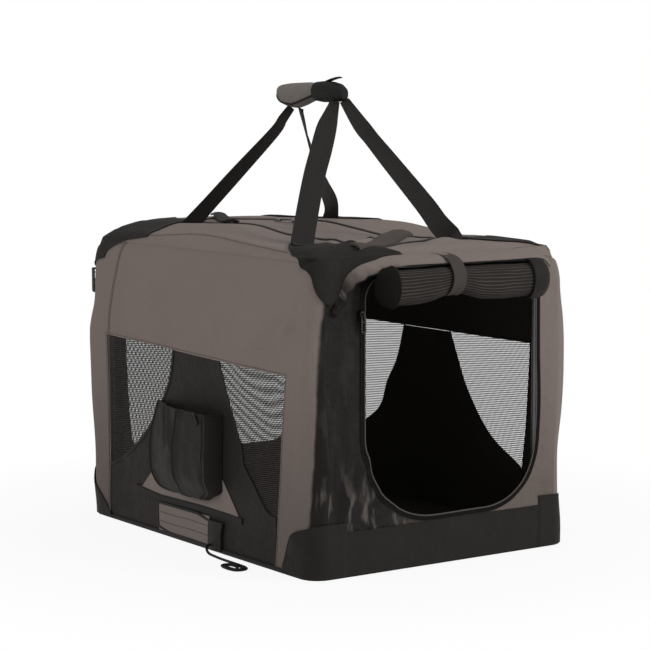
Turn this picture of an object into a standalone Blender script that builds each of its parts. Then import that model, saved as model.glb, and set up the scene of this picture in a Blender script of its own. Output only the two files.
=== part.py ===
"""Soft folding dog crate: two steel hoops that fold inward on a base ring, cloth walls with
mesh windows, a rolled-up mesh door, two top bars, and a padded carry handle on four straps.

Metres, +Z up, +X to the right along the front, +Y to the rear. The origin is at the middle
of the underside. The door is at -Y, and the side with the pocket is at -X.
"""
import math

import bmesh
import bpy
from mathutils import Matrix, Vector
from mathutils.geometry import tessellate_polygon

# Driving dimensions of the whole crate
WIDTH = 0.52
LENGTH = 0.70
HEIGHT = 0.52
CORNER = 0.030
ROOF_EDGE = 0.016
FOLDED_HEIGHT = 0.117
CORNER_STEPS = 5
EDGE_STEPS = 4

# Cloth, trims and clearances
CLOTH = 0.0015
TRIM = 0.0012
NET = 0.0010
GAP = 0.0003
RUNNING = 0.0008
OVERRUN = 0.010
LAP = 0.006

# Steel frame
TUBE = 0.007
TUBE_BORE = 0.006
HOOP_INSET = 0.016
HOOP_END_INSET = 0.042
HOOP_STAGGER = 0.023
HOOP_BEND = 0.045
LEFT_PIVOT = 0.072
RIGHT_PIVOT = 0.042
LEFT_RAIL_DROP = 0.018
RIGHT_RAIL_DROP = 0.024
LEFT_FOLD_SHARE = 0.95
HEEL = 0.007
RING_END_INSET = 0.012
RING_BEND = 0.018
DRAIN = 0.002

# Hinge brackets
BRACKET_HALF = 0.0105
BRACKET_TOP = 0.011
CHEEK = 0.003
PIN = 0.0025

# Top bars with their end blocks, and the hooks on the hoops that hold them
BAR = 0.0065
BAR_BORE = 0.0055
BAR_END_DEPTH = 0.0085
BAR_DROP = 0.043
BLOCK_IN = 0.0075
BLOCK_OUT = 0.0048
BLOCK_DEPTH = 0.0122
BLOCK_WALL = 0.0022
BLOCK_STEP = 0.018
PEG = 0.003
PEG_DROP = 0.058
PEG_REACH = 0.0045
HOOK = 0.0105
HOOK_SEAT = 0.0034

# Floor
BOARD = 0.0028
BOARD_SIDE = 0.029
BOARD_END = 0.014
BOARD_BEND = 0.012
MAT = 0.0070
MAT_INSET = 0.004

# Side windows, in shares of half the length and of the height
WINDOW_REAR_SHARE = 0.815
WINDOW_FRONT_SHARES = (-0.70, -0.79)
WINDOW_TOP_SHARES = (0.606, 0.635)
FLARE_REAR_SHARES = ((0.60, 0.252), (0.41, 0.355), (0.23, 0.502), (0.163, 0.628))
FLARE_FRONT_SHARES = ((-0.245, 0.615), (-0.28, 0.558), (-0.33, 0.467), (-0.42, 0.360),
                      (-0.52, 0.248), (-0.625, 0.175))
FLARE_FOOT_SHARES = (0.160, 0.185)

# Door openings in the front and rear walls
DOOR_LEFT_INSET = 0.097
DOOR_RIGHT_INSET = 0.068
DOOR_SILL = 0.082
DOOR_HEAD_DROP = 0.046
DOOR_LOW_BEND = 0.085
DOOR_HIGH_BEND = 0.040
REAR_DOOR_INSET = 0.085
REAR_DOOR_SILL = 0.090
TAPE = 0.009

# Base trims and corner patches
CAP_HEIGHT = 0.088
CAP_ALONG_FRONT = 0.028
CAP_ALONG_SIDE = 0.055
PATCH_DROP = 0.052
PATCH_ALONG_FRONT = 0.028
PATCH_ALONG_SIDE = 0.055

# Pocket and trims on the left side
POCKET_FRONT = -0.090
POCKET_BOTTOM = 0.079
POCKET_TOP = 0.232
POCKET_DEPTH = 0.028
POCKET_LENGTH = 0.235
POCKET_REAR_SHARES = (0.885, 1.0, 0.970, 0.8255)
POCKET_LEVEL_SHARES = (0.0, 0.16, 0.55, 1.0)
POCKET_DEPTH_SHARES = (0.45, 0.85, 1.0, 1.0)
POCKET_PLAN_SHARES = ((0.0, 0.0), (0.16, 0.45), (0.38, 0.78), (0.66, 0.97), (0.93, 1.0),
                      (1.0, 0.86), (1.0, 0.0))
BACKING_SHARES = ((0.543, 0.127), (0.429, 0.200), (-0.243, 0.2345), (-0.389, 0.1155))
LABEL_FRONT = -0.038
LABEL_REAR = 0.121
LABEL_HEIGHT = 0.055
TAB_FRONT = -0.093
TAB_HEIGHT = 0.050
TAB_DEPTH = 0.006

# Tie cord on the floor beside the crate, and its hank and end knot
CORD = 0.0022
CORD_EXIT_Y = -0.064
CORD_EXIT_Z = 0.012
CORD_ROUTE = ((-0.2740, -0.0650, 0.0115), (-0.2790, -0.0700, 0.0070), (-0.2820, -0.0790, 0.0035),
              (-0.2840, -0.0900, 0.0022), (-0.2855, -0.1030, 0.0022), (-0.2870, -0.1160, 0.0022),
              (-0.2880, -0.1290, 0.0022), (-0.2885, -0.1420, 0.0022), (-0.2885, -0.1550, 0.0022),
              (-0.2885, -0.1680, 0.0022), (-0.2885, -0.1810, 0.0022))
HANK_RUN = 0.011
HANK_HALF = 0.0160
HANK_PITCH = 0.0049
HANK_TURNS = 2
HANK_POINTS = 24
KNOT = 0.0040

# Rolled-up mesh door
ROLL_LEFT_INSET = 0.018
ROLL_RIGHT_INSET = 0.006
ROLL_OUT = 0.036
ROLL_DROP = 0.059
ROLL_RADIUS = 0.028
ROLL_CORE = 0.009
ROLL_SHEET = 0.0022
ROLL_PITCH = 0.0046
ROLL_STEPS = 20
ROLL_STRAP_HALF = 0.0125
ROLL_STRAP_MIDDLE = -0.016

# Zip sliders and pulls
SLIDER_DROP = 0.063
SLIDER_HALF = 0.0055
SLIDER_RISE = 0.008
SLIDER_DEPTH = 0.0038
BAIL = 0.0012
BAIL_HALF = 0.0038
BAIL_REACH = 0.0042
PULL_AXIS = 0.0015
PULL_HALF = 0.0046
PULL_LENGTH = 0.026
PULL_THICK = 0.0016
PULL_EYE = 0.0020
EYE_LENGTH = 0.0078
RING_WALL = 0.0022

# Roof zip
ROOF_ZIP_INSETS = (0.135, 0.175, 0.095, 0.110)
ROOF_ZIP_BEND = 0.060

# Carry handle
WEB_HALF = 0.019
WEB_TOP_HALF = 0.009
WEB_THICK = 0.0018
WEB_FOOT = 0.034
WEB_TUCK = 0.012
WEB_LIFT = 0.009
STRAP_SEAT_SHARES = {"left_rear_strap": (-0.6615, 0.5143), "left_front_strap": (-0.7115, -0.6343),
                     "right_front_strap": (0.4885, -0.5714), "right_rear_strap": (0.6346, 0.5857)}
GRIP_REAR = 0.126
GRIP_JOIN = 0.010
GRIP_FRONT = -0.074
GRIP_RISE = 0.232
GRIP_HALF = 0.021
GRIP_WEB_HALF = 0.014

# Shoulder-strap clip at the rear left corner
CLIP_INSET = 0.029
CLIP_STAND = 0.028
CLIP_DROP = 0.0806
CLIP_WEB_END = 0.007
CLIP_WEB_LOW = 0.0094
CLIP_WEB_HIGH = 0.0086
CLIP_EYELET = 0.0042
CLIP_HALF = 0.0085
CLIP_THICK = 0.006
CLIP_WALL = 0.0032
CLIP_EYE = 0.0186
CLIP_HOOK = 0.0186

# Values that follow from the ones above
HALF_X = WIDTH / 2
HALF_Y = LENGTH / 2
BASE_TOP = CLOTH + GAP
HOOP_X = HALF_X - HOOP_INSET
LEFT_HOOP_Y = HALF_Y - HOOP_END_INSET
RIGHT_HOOP_Y = LEFT_HOOP_Y - HOOP_STAGGER
RING_Z = BASE_TOP + TUBE
ROOF_TOP = HEIGHT - CLOTH - GAP
ROOF_DROP = HEIGHT - FOLDED_HEIGHT
ROOF_UNDER = ROOF_TOP - CLOTH
ROOF_RIM = ROOF_TOP - ROOF_EDGE
LEFT_RAIL = HEIGHT - LEFT_RAIL_DROP
RIGHT_RAIL = HEIGHT - RIGHT_RAIL_DROP
PEG_HEIGHT = HEIGHT - PEG_DROP
BAR_HEIGHT = HEIGHT - BAR_DROP
DOOR_LEFT = DOOR_LEFT_INSET - HALF_X
DOOR_RIGHT = HALF_X - DOOR_RIGHT_INSET
DOOR_HEAD = HEIGHT - DOOR_HEAD_DROP
REAR_DOOR_HALF = HALF_X - REAR_DOOR_INSET
ROLL_LEFT = DOOR_LEFT + ROLL_LEFT_INSET
ROLL_RIGHT = DOOR_RIGHT - ROLL_RIGHT_INSET
ROLL_HEIGHT = HEIGHT - ROLL_DROP
SLIDER_HEIGHT = DOOR_HEAD - SLIDER_DROP
ROOF_ZIP_LEFT = ROOF_ZIP_INSETS[0] - HALF_X
ROOF_ZIP_RIGHT = HALF_X - ROOF_ZIP_INSETS[1]
ROOF_ZIP_FRONT = ROOF_ZIP_INSETS[2] - HALF_Y
ROOF_ZIP_REAR = HALF_Y - ROOF_ZIP_INSETS[3]
GRIP_MIDDLE = HEIGHT + GRIP_RISE
CLIP_X = CLIP_INSET - HALF_X
CLIP_Y = HALF_Y + CLIP_STAND
CLIP_Z = HEIGHT - CLIP_DROP
WALL_TOP = ROOF_RIM - GAP
BRACKET_WIDE = TUBE + RUNNING + CHEEK
BAR_Y = LEFT_HOOP_Y + BRACKET_WIDE + 2 * PEG_REACH + BAR
BAND_HEIGHT = DOOR_SILL - TAPE - GAP
FACE = HALF_X + GAP
FRONT_FACE = HALF_Y + GAP

MATERIALS = {}


def finish_of(name):
    """One of the crate's finishes: colour, roughness and metallic value."""
    finishes = {
        "grey_cloth": ((0.16, 0.14, 0.13), 0.80, 0.0),
        "black_cloth": ((0.016, 0.015, 0.014), 0.65, 0.0),
        "net": ((0.03, 0.028, 0.026), 0.75, 0.0),
        "webbing": ((0.014, 0.013, 0.012), 0.60, 0.0),
        "pad": ((0.20, 0.18, 0.17), 0.80, 0.0),
        "steel": ((0.35, 0.35, 0.36), 0.35, 1.0),
        "plastic": ((0.02, 0.02, 0.02), 0.40, 0.0),
        "zip_metal": ((0.30, 0.29, 0.28), 0.35, 1.0),
        "board": ((0.05, 0.05, 0.05), 0.70, 0.0),
        "cord": ((0.015, 0.015, 0.015), 0.75, 0.0),
    }
    if name not in MATERIALS:
        colour, roughness, metallic = finishes[name]
        material = bpy.data.materials.new(name)
        material.use_nodes = True
        shader = material.node_tree.nodes["Principled BSDF"]
        shader.inputs["Base Color"].default_value = (*colour, 1.0)
        shader.inputs["Roughness"].default_value = roughness
        shader.inputs["Metallic"].default_value = metallic
        MATERIALS[name] = material
    return MATERIALS[name]


def place_mesh(name, mesh, finish=None, origin=(0, 0, 0)):
    """Link a bmesh as an object whose origin sits at the given point."""
    bmesh.ops.recalc_face_normals(mesh, faces=mesh.faces)
    bmesh.ops.translate(mesh, verts=mesh.verts, vec=-Vector(origin))
    data = bpy.data.meshes.new(name)
    mesh.to_mesh(data)
    mesh.free()
    piece = bpy.data.objects.new(name, data)
    piece.location = origin
    bpy.context.scene.collection.objects.link(piece)
    if finish:
        data.materials.append(finish_of(finish))
        data.shade_smooth()
        data.set_sharp_from_angle(angle=math.radians(40))
    return piece


def cutter(name, mesh):
    """A guide solid that is only used by Boolean modifiers."""
    piece = place_mesh(name, mesh)
    piece.hide_render = True
    piece.display_type = "WIRE"
    return piece


def combine(piece, other, operation):
    """Add a Boolean modifier that cuts or joins with another solid."""
    modifier = piece.modifiers.new(other.name, "BOOLEAN")
    modifier.operation = operation
    modifier.solver = "EXACT"
    modifier.object = other


def arc(centre, radius, start, end, steps):
    """Points of a round stretch, with angles in degrees."""
    points = []
    for step in range(steps + 1):
        angle = math.radians(start + (end - start) * step / steps)
        points.append((centre[0] + radius * math.cos(angle), centre[1] + radius * math.sin(angle)))
    return points


def rounded_box(left, right, low, high, low_bend, high_bend, steps=6):
    """A closed outline with round corners, lower and upper radii apart."""
    outline = arc((right - low_bend, low + low_bend), low_bend, -90, 0, steps)
    outline += arc((right - high_bend, high - high_bend), high_bend, 0, 90, steps)
    outline += arc((left + high_bend, high - high_bend), high_bend, 90, 180, steps)
    outline += arc((left + low_bend, low + low_bend), low_bend, 180, 270, steps)
    return outline


def plan_outline(offset):
    """The crate's rounded plan, moved outward by an offset."""
    bend = CORNER + offset
    reach_x = HALF_X + offset
    reach_y = HALF_Y + offset
    return rounded_box(-reach_x, reach_x, -reach_y, reach_y, bend, bend, CORNER_STEPS)


def prism(mesh, loops, low, high, place):
    """Extrude a flat outline, with its holes, between two depths."""
    flat = [[Vector((u, v, 0)) for u, v in loop] for loop in loops]
    triangles = tessellate_polygon(flat)
    rows = []
    for depth in (low, high):
        rows.append([mesh.verts.new(place(u, v, depth)) for loop in loops for u, v in loop])
    for corners in triangles:
        for row in rows:
            mesh.faces.new([row[corner] for corner in corners])
    first = 0
    for loop in loops:
        count = len(loop)
        for index in range(count):
            here = first + index
            after = first + (index + 1) % count
            mesh.faces.new([rows[0][here], rows[0][after], rows[1][after], rows[1][here]])
        first += count
    return mesh


def along_x(u, v, depth):
    return Vector((depth, u, v))


def along_y(u, v, depth):
    return Vector((u, depth, v))


def along_z(u, v, depth):
    return Vector((u, v, depth))


def slab(name, loops, low, high, place, finish):
    """A plate of one outline, with optional holes."""
    return place_mesh(name, prism(bmesh.new(), loops, low, high, place), finish)


def tube_rings(points, normal, radius, sides, closed):
    """Round cross-sections along a flat path, mitred at its corners."""
    rings = []
    count = len(points)
    for index, point in enumerate(points):
        before = points[index - 1] if index or closed else None
        after = points[(index + 1) % count] if index < count - 1 or closed else None
        inward = (point - before).normalized() if before is not None else None
        outward = (after - point).normalized() if after is not None else None
        inward = outward if inward is None else inward
        outward = inward if outward is None else outward
        tangent = (inward + outward).normalized()
        side = tangent.cross(normal).normalized()
        mitre = 1 / max(tangent.dot(inward), 0.5)
        ring = []
        for step in range(sides):
            angle = 2 * math.pi * step / sides
            ring.append(point + side * (radius * mitre * math.cos(angle))
                        + normal * (radius * math.sin(angle)))
        rings.append(ring)
    return rings


def skin(mesh, rings, closed):
    """Join rings of points with faces, and return their vertices."""
    rows = [[mesh.verts.new(point) for point in ring] for ring in rings]
    pairs = list(zip(rows, rows[1:]))
    if closed:
        pairs.append((rows[-1], rows[0]))
    for row, following in pairs:
        for index in range(len(row)):
            after = (index + 1) % len(row)
            mesh.faces.new([row[index], row[after], following[after], following[index]])
    return rows


def rim(mesh, outer, inner):
    """Close the end face between an outer and an inner ring."""
    for index in range(len(outer)):
        after = (index + 1) % len(outer)
        mesh.faces.new([outer[index], outer[after], inner[after], inner[index]])


def add_tube(mesh, points, normal, radius, bore=0, closed=False, sides=10):
    """A round tube or rod along a flat path; a bore leaves its ends open."""
    path = [Vector(point) for point in points]
    axis = Vector(normal)
    outer = skin(mesh, tube_rings(path, axis, radius, sides, closed), closed)
    if bore:
        inner = skin(mesh, tube_rings(path, axis, bore, sides, closed), closed)
        if not closed:
            rim(mesh, outer[0], inner[0])
            rim(mesh, outer[-1], inner[-1])
    elif not closed:
        mesh.faces.new(outer[0])
        mesh.faces.new(outer[-1])
    return mesh


def add_ribbon(mesh, points, halves, thick, flat):
    """Flat webbing along a path; its width lies square to the path and as near to X as it can,
    and its first points lie flat."""
    rings = []
    path = [Vector(point) for point in points]
    for index, point in enumerate(path):
        before = path[max(index - 1, 0)]
        after = path[min(index + 1, len(path) - 1)]
        tangent = (path[1] - path[0] if index < flat else after - before).normalized()
        wide = (Vector((1, 0, 0)) - tangent * tangent.x).normalized()
        deep = tangent.cross(wide) * (thick / 2)
        wide = wide * halves[index]
        rings.append([point - wide - deep, point + wide - deep, point + wide + deep,
                      point - wide + deep])
    rows = skin(mesh, rings, False)
    mesh.faces.new(rows[0])
    mesh.faces.new(rows[-1])
    bmesh.ops.triangulate(mesh, faces=mesh.faces)
    return mesh


def hoop_path(half_length, foot, rail):
    """An inverted U with round bends, in a plane square to X."""
    turn = rail - HOOP_BEND
    path = [(-half_length, foot)]
    path += arc((-half_length + HOOP_BEND, turn), HOOP_BEND, 180, 90, 6)
    path += arc((half_length - HOOP_BEND, turn), HOOP_BEND, 90, 0, 6)
    path += [(half_length, foot)]
    return path


def hook_outline(x, z, mouth):
    """A round hook with a slot that opens at the mouth's angle, in degrees."""
    half = math.degrees(math.asin(HOOK_SEAT / HOOK))
    outline = arc((x, z), HOOK, mouth + half, mouth + 360 - half, 12)
    outline += arc((x, z), HOOK_SEAT, mouth + 270, mouth + 90, 6)
    return outline


def make_hoop(name, side, half_length, pivot, rail, fold_share):
    """One folding hoop with its two pin holes and the hooks that hold the top bars."""
    x = side * HOOP_X
    path = [(x, y, z) for y, z in hoop_path(half_length, pivot - HEEL, rail)]
    mesh = add_tube(bmesh.new(), path, (1, 0, 0), TUBE, TUBE_BORE)
    hoop = place_mesh(name, mesh, "steel", (x, 0, pivot))
    drop_rate = ROOF_DROP / math.radians(90)
    slope = math.degrees(math.atan2(drop_rate, (PEG_HEIGHT - pivot) * fold_share))
    mouth = -slope if side > 0 else 180 + slope
    hooks = bmesh.new()
    outline = hook_outline(x, PEG_HEIGHT, mouth)
    start = half_length + TUBE_BORE + GAP
    end = half_length + BRACKET_WIDE + PEG_REACH
    for end_side in (-1, 1):
        prism(hooks, [outline], end_side * start, end_side * end, along_y)
    combine(hoop, cutter(name + "_hooks", hooks), "UNION")
    holes = bmesh.new()
    for end_side in (-1, 1):
        middle = end_side * half_length
        ends = [(x, middle - TUBE - OVERRUN, pivot), (x, middle + TUBE + OVERRUN, pivot)]
        add_tube(holes, ends, (1, 0, 0), PIN + GAP, sides=12)
    combine(hoop, cutter(name + "_pin_holes", holes), "DIFFERENCE")
    return hoop


def make_base_ring():
    """The round-cornered tube on the floor that carries the hinge brackets."""
    bend = RING_BEND
    reach_y = HALF_Y - RING_END_INSET
    outline = rounded_box(-HOOP_X, HOOP_X, -reach_y, reach_y, bend, bend, 5)
    path = [(x, y, RING_Z) for x, y in outline]
    mesh = add_tube(bmesh.new(), path, (0, 0, 1), TUBE, TUBE_BORE, closed=True)
    ring = place_mesh("base_ring", mesh, "steel")
    drain = bmesh.new()
    add_tube(drain, [(0, reach_y, 0), (0, reach_y, RING_Z)], (1, 0, 0), DRAIN, sides=8)
    combine(ring, cutter("drain_hole", drain), "DIFFERENCE")


def make_bracket(name, side, end_side, half_length, pivot):
    """A saddle over the base ring with two cheeks and the riveted pin of a hoop's foot."""
    x = side * HOOP_X
    y = end_side * half_length
    top = pivot + BRACKET_TOP
    bend = BRACKET_HALF - RUNNING
    outline = rounded_box(x - BRACKET_HALF, x + BRACKET_HALF, RING_Z, top, RUNNING, bend, 4)
    mesh = prism(bmesh.new(), [outline], y - BRACKET_WIDE, y + BRACKET_WIDE, along_y)
    bracket = place_mesh(name, mesh, "plastic")
    foot = pivot - BRACKET_HALF
    half = TUBE + RUNNING
    slot = [(y - half, foot), (y + half, foot), (y + half, top + OVERRUN), (y - half, top + OVERRUN)]
    mesh = prism(bmesh.new(), [slot], x - BRACKET_HALF - OVERRUN, x + BRACKET_HALF + OVERRUN, along_x)
    combine(bracket, cutter(name + "_slot", mesh), "DIFFERENCE")
    ends = [(x, y - BRACKET_WIDE - OVERRUN, RING_Z), (x, y + BRACKET_WIDE + OVERRUN, RING_Z)]
    mesh = add_tube(bmesh.new(), ends, (1, 0, 0), TUBE + GAP, sides=20)
    combine(bracket, cutter(name + "_saddle", mesh), "DIFFERENCE")
    reach = half + CHEEK / 2
    ends = [(x, y - reach, pivot), (x, y + reach, pivot)]
    mesh = add_tube(bmesh.new(), ends, (1, 0, 0), PIN, sides=12)
    combine(bracket, cutter(name + "_pin", mesh), "UNION")


def make_brackets():
    for side_name, side, half_length, pivot in (("left", -1, LEFT_HOOP_Y, LEFT_PIVOT),
                                                ("right", 1, RIGHT_HOOP_Y, RIGHT_PIVOT)):
        for end_name, end_side in (("front", -1), ("rear", 1)):
            make_bracket(side_name + "_" + end_name + "_bracket", side, end_side, half_length, pivot)


def block_outline(side):
    """An end block seen from the front: its foot is over the hoop, and its head holds the bar."""
    top = BAR_HEIGHT + BAR + BLOCK_WALL
    neck = BAR_HEIGHT - BAR - BLOCK_WALL
    low = PEG_HEIGHT - PEG - BLOCK_WALL
    inner = HOOP_X - BLOCK_IN
    outer = HOOP_X + BLOCK_OUT
    head = inner - BLOCK_STEP
    outline = [(inner + PEG, low), (outer - PEG, low), (outer, low + PEG), (outer, top - PEG),
               (outer - PEG, top), (head, top), (head, neck), (inner, neck - BLOCK_WALL)]
    return [(side * x, z) for x, z in outline]


def make_bar(name, end_side):
    """A top bar with its moulded end blocks, whose pegs sit in the hoops' hooks."""
    y = end_side * BAR_Y
    reach = HOOP_X - BLOCK_IN - BLOCK_STEP + BAR_END_DEPTH
    ends = [(-reach, y, BAR_HEIGHT), (reach, y, BAR_HEIGHT)]
    bar = place_mesh(name, add_tube(bmesh.new(), ends, (0, 1, 0), BAR), "steel")
    blocks = bmesh.new()
    pegs = bmesh.new()
    near = BAR_Y - BLOCK_DEPTH / 2
    far = BAR_Y + BLOCK_DEPTH / 2
    for side, half_length in ((-1, LEFT_HOOP_Y), (1, RIGHT_HOOP_Y)):
        x = side * HOOP_X
        prism(blocks, [block_outline(side)], end_side * near, end_side * far, along_y)
        tip = end_side * (half_length + BRACKET_WIDE + RUNNING / 2)
        add_tube(pegs, [(x, tip, PEG_HEIGHT), (x, y, PEG_HEIGHT)], (1, 0, 0), PEG)
    combine(bar, cutter(name + "_ends", blocks), "UNION")
    combine(bar, cutter(name + "_pegs", pegs), "UNION")
    bore = HOOP_X + OVERRUN
    mesh = add_tube(bmesh.new(), [(-bore, y, BAR_HEIGHT), (bore, y, BAR_HEIGHT)], (0, 1, 0), BAR_BORE)
    combine(bar, cutter(name + "_bore", mesh), "DIFFERENCE")


def make_floor():
    """The floor cloth, the stiff board that lies on the ring, and the padded mat on it."""
    slab("floor_cloth", [plan_outline(CLOTH)], 0, CLOTH, along_z, "black_cloth")
    low = RING_Z + TUBE + GAP
    reach_x = HALF_X - BOARD_SIDE
    reach_y = HALF_Y - BOARD_END
    outline = rounded_box(-reach_x, reach_x, -reach_y, reach_y, BOARD_BEND, BOARD_BEND, 4)
    slab("floor_board", [outline], low, low + BOARD, along_z, "board")
    reach_x -= MAT_INSET
    reach_y -= MAT_INSET
    outline = rounded_box(-reach_x, reach_x, -reach_y, reach_y, BOARD_BEND, BOARD_BEND, 4)
    low += BOARD + GAP
    slab("floor_mat", [outline], low, low + MAT, along_z, "black_cloth")


def side_plan(side, thick):
    """The plan of a side wall, which turns round both upright corners."""
    turn_x = HALF_X - CORNER
    turn_y = HALF_Y - CORNER
    outer = arc((turn_x, -turn_y), CORNER, -90, 0, CORNER_STEPS)
    outer += arc((turn_x, turn_y), CORNER, 0, 90, CORNER_STEPS)
    inner = arc((turn_x, turn_y), CORNER - thick, 90, 0, CORNER_STEPS)
    inner += arc((turn_x, -turn_y), CORNER - thick, 0, -90, CORNER_STEPS)
    return [(side * x, y) for x, y in outer + inner]


def window_top(y_share):
    """Height of the window's upper edge, which rises to the rear."""
    along = (y_share - WINDOW_FRONT_SHARES[1]) / (WINDOW_REAR_SHARE - WINDOW_FRONT_SHARES[1])
    return HEIGHT * (WINDOW_TOP_SHARES[0] + (WINDOW_TOP_SHARES[1] - WINDOW_TOP_SHARES[0]) * along)


def side_point(shares):
    return (shares[0] * HALF_Y, shares[1] * HEIGHT)


def front_edge(z):
    """The window's slanted front edge at a height."""
    low, high = WINDOW_FRONT_SHARES
    return HALF_Y * (low + (high - low) * z / window_top(high))


def make_side(name, side):
    """A side wall with its window, the black flare in it, and the two nets beside the flare."""
    x = side * HALF_X
    wall = slab(name + "_wall", [side_plan(side, CLOTH)], BASE_TOP, WALL_TOP, along_z, "grey_cloth")
    rear = WINDOW_REAR_SHARE * HALF_Y
    front_top = WINDOW_FRONT_SHARES[1] * HALF_Y
    outline = [(rear, -OVERRUN), (rear, window_top(WINDOW_REAR_SHARE)),
               (front_top, window_top(WINDOW_FRONT_SHARES[1])), (front_edge(-OVERRUN), -OVERRUN)]
    mesh = prism(bmesh.new(), [outline], x - OVERRUN, x + OVERRUN, along_x)
    combine(wall, cutter(name + "_window", mesh), "DIFFERENCE")
    rear_curve = [side_point(shares) for shares in FLARE_REAR_SHARES]
    front_curve = [side_point(shares) for shares in FLARE_FRONT_SHARES]
    rear_foot = FLARE_FOOT_SHARES[1] * HEIGHT
    front_foot = FLARE_FOOT_SHARES[0] * HEIGHT
    flare = [(rear - GAP, BASE_TOP), (rear - GAP, rear_foot)] + rear_curve[:-1]
    rear_top = (rear_curve[-1][0], window_top(FLARE_REAR_SHARES[-1][0]) - GAP)
    front_top_point = (front_curve[0][0], window_top(FLARE_FRONT_SHARES[0][0]) - GAP)
    flare += [rear_top, front_top_point] + front_curve[1:]
    flare += [(front_edge(front_foot) + GAP, front_foot), (front_edge(BASE_TOP) + GAP, BASE_TOP)]
    slab(name + "_flare", [flare], x, x - side * CLOTH, along_x, "black_cloth")
    near = x - side * (CLOTH + GAP)
    far = near - side * NET
    net = [(rear + LAP, rear_foot - LAP), (rear + LAP, window_top(WINDOW_REAR_SHARE) + LAP),
           (rear_curve[-1][0] - LAP, window_top(FLARE_REAR_SHARES[-1][0]) + LAP)]
    net += [(y - LAP, z - LAP) for y, z in reversed(rear_curve[:-1])]
    slab(name + "_mesh_rear", [net], near, far, along_x, "net")
    net = [(front_curve[0][0] + LAP, window_top(FLARE_FRONT_SHARES[0][0]) + LAP),
           (front_top - LAP, window_top(WINDOW_FRONT_SHARES[1]) + LAP),
           (front_edge(front_foot) - LAP, front_foot - LAP)]
    net += [(y + LAP, z - LAP) for y, z in reversed(front_curve[1:])]
    slab(name + "_mesh_front", [net], near, far, along_x, "net")


def door_outline(spread, rear=False):
    """A door opening's outline, moved outward by a spread."""
    left = -REAR_DOOR_HALF if rear else DOOR_LEFT
    right = REAR_DOOR_HALF if rear else DOOR_RIGHT
    sill = REAR_DOOR_SILL if rear else DOOR_SILL
    return rounded_box(left - spread, right + spread, sill - spread, DOOR_HEAD + spread,
                       DOOR_LOW_BEND + spread, DOOR_HIGH_BEND + spread)


def make_end(name, end_side):
    """A front or rear wall with its door opening and the zip tape round it."""
    rear = end_side > 0
    reach = HALF_X - CORNER - GAP
    outline = [(-reach, BASE_TOP), (reach, BASE_TOP), (reach, WALL_TOP), (-reach, WALL_TOP)]
    face = end_side * HALF_Y
    loops = [outline, door_outline(0, rear)]
    slab(name + "_wall", loops, face, face - end_side * CLOTH, along_y, "grey_cloth")
    tape = end_side * FRONT_FACE
    loops = [door_outline(TAPE, rear), door_outline(GAP, rear)]
    slab(name + "_zip_tape", loops, tape, tape + end_side * TRIM, along_y, "webbing")
    if rear:
        near = face - end_side * (CLOTH + GAP)
        loops = [door_outline(LAP, rear)]
        slab("rear_mesh_door", loops, near, near - end_side * NET, along_y, "net")


def corner_strip(mesh, side, end_side, along_end, along_side, low, high):
    """A trim that turns round one upright corner, just outside the walls."""
    near = GAP
    far = GAP + TRIM
    turn_x = HALF_X - CORNER
    turn_y = HALF_Y - CORNER
    outer = [(turn_x - along_end, HALF_Y + far)]
    outer += arc((turn_x, turn_y), CORNER + far, 90, 0, CORNER_STEPS)
    outer += [(HALF_X + far, turn_y - along_side)]
    inner = [(HALF_X + near, turn_y - along_side)]
    inner += arc((turn_x, turn_y), CORNER + near, 0, 90, CORNER_STEPS)
    inner += [(turn_x - along_end, HALF_Y + near)]
    outline = [(side * x, end_side * y) for x, y in outer + inner]
    return prism(mesh, [outline], low, high, along_z)


def make_base_trims():
    """Black bands along the front and rear, and a cap on each lower corner."""
    for end_name, end_side in (("front", -1), ("rear", 1)):
        reach = HALF_X - CORNER - CAP_ALONG_FRONT - GAP
        outline = [(-reach, BASE_TOP), (reach, BASE_TOP), (reach, BAND_HEIGHT), (-reach, BAND_HEIGHT)]
        near = end_side * FRONT_FACE
        slab(end_name + "_band", [outline], near, near + end_side * TRIM, along_y, "black_cloth")
        for side_name, side in (("left", -1), ("right", 1)):
            mesh = corner_strip(bmesh.new(), side, end_side, CAP_ALONG_FRONT, CAP_ALONG_SIDE,
                                BASE_TOP, CAP_HEIGHT)
            place_mesh(side_name + "_" + end_name + "_cap", mesh, "black_cloth")


def patch_row(side, end_side, shift, z):
    """One level of a top corner patch, from the front or rear face round to the side face."""
    bend = max(CORNER + shift, TRIM)
    turn_x = HALF_X + shift - bend
    turn_y = HALF_Y + shift - bend
    row = [(HALF_X - CORNER - PATCH_ALONG_FRONT, HALF_Y + shift)]
    row += arc((turn_x, turn_y), bend, 90, 0, CORNER_STEPS)
    row += [(HALF_X + shift, HALF_Y - CORNER - PATCH_ALONG_SIDE)]
    return [Vector((side * x, end_side * y, z)) for x, y in row]


def patch_levels(lift):
    """The levels of a patch's face that stands off the cloth by a lift."""
    levels = [(lift, WALL_TOP - PATCH_DROP), (lift, ROOF_RIM)]
    bend = ROOF_EDGE + lift
    for step in range(1, EDGE_STEPS + 1):
        angle = math.radians(90) * step / EDGE_STEPS
        levels.append((bend * math.cos(angle) - ROOF_EDGE, ROOF_RIM + bend * math.sin(angle)))
    levels.append((-CORNER, ROOF_TOP + lift))
    return levels


def make_top_patches():
    """A black patch over each upper corner, down the walls and over the roof's round edge."""
    for side_name, side in (("left", -1), ("right", 1)):
        for end_name, end_side in (("front", -1), ("rear", 1)):
            mesh = bmesh.new()
            faces = []
            for lift in (GAP, GAP + TRIM):
                rows = [patch_row(side, end_side, shift, z) for shift, z in patch_levels(lift)]
                faces.append([[mesh.verts.new(point) for point in row] for row in rows])
            close_sheet(mesh, *faces)
            place_mesh(side_name + "_" + end_name + "_top_patch", mesh, "black_cloth")


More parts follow.
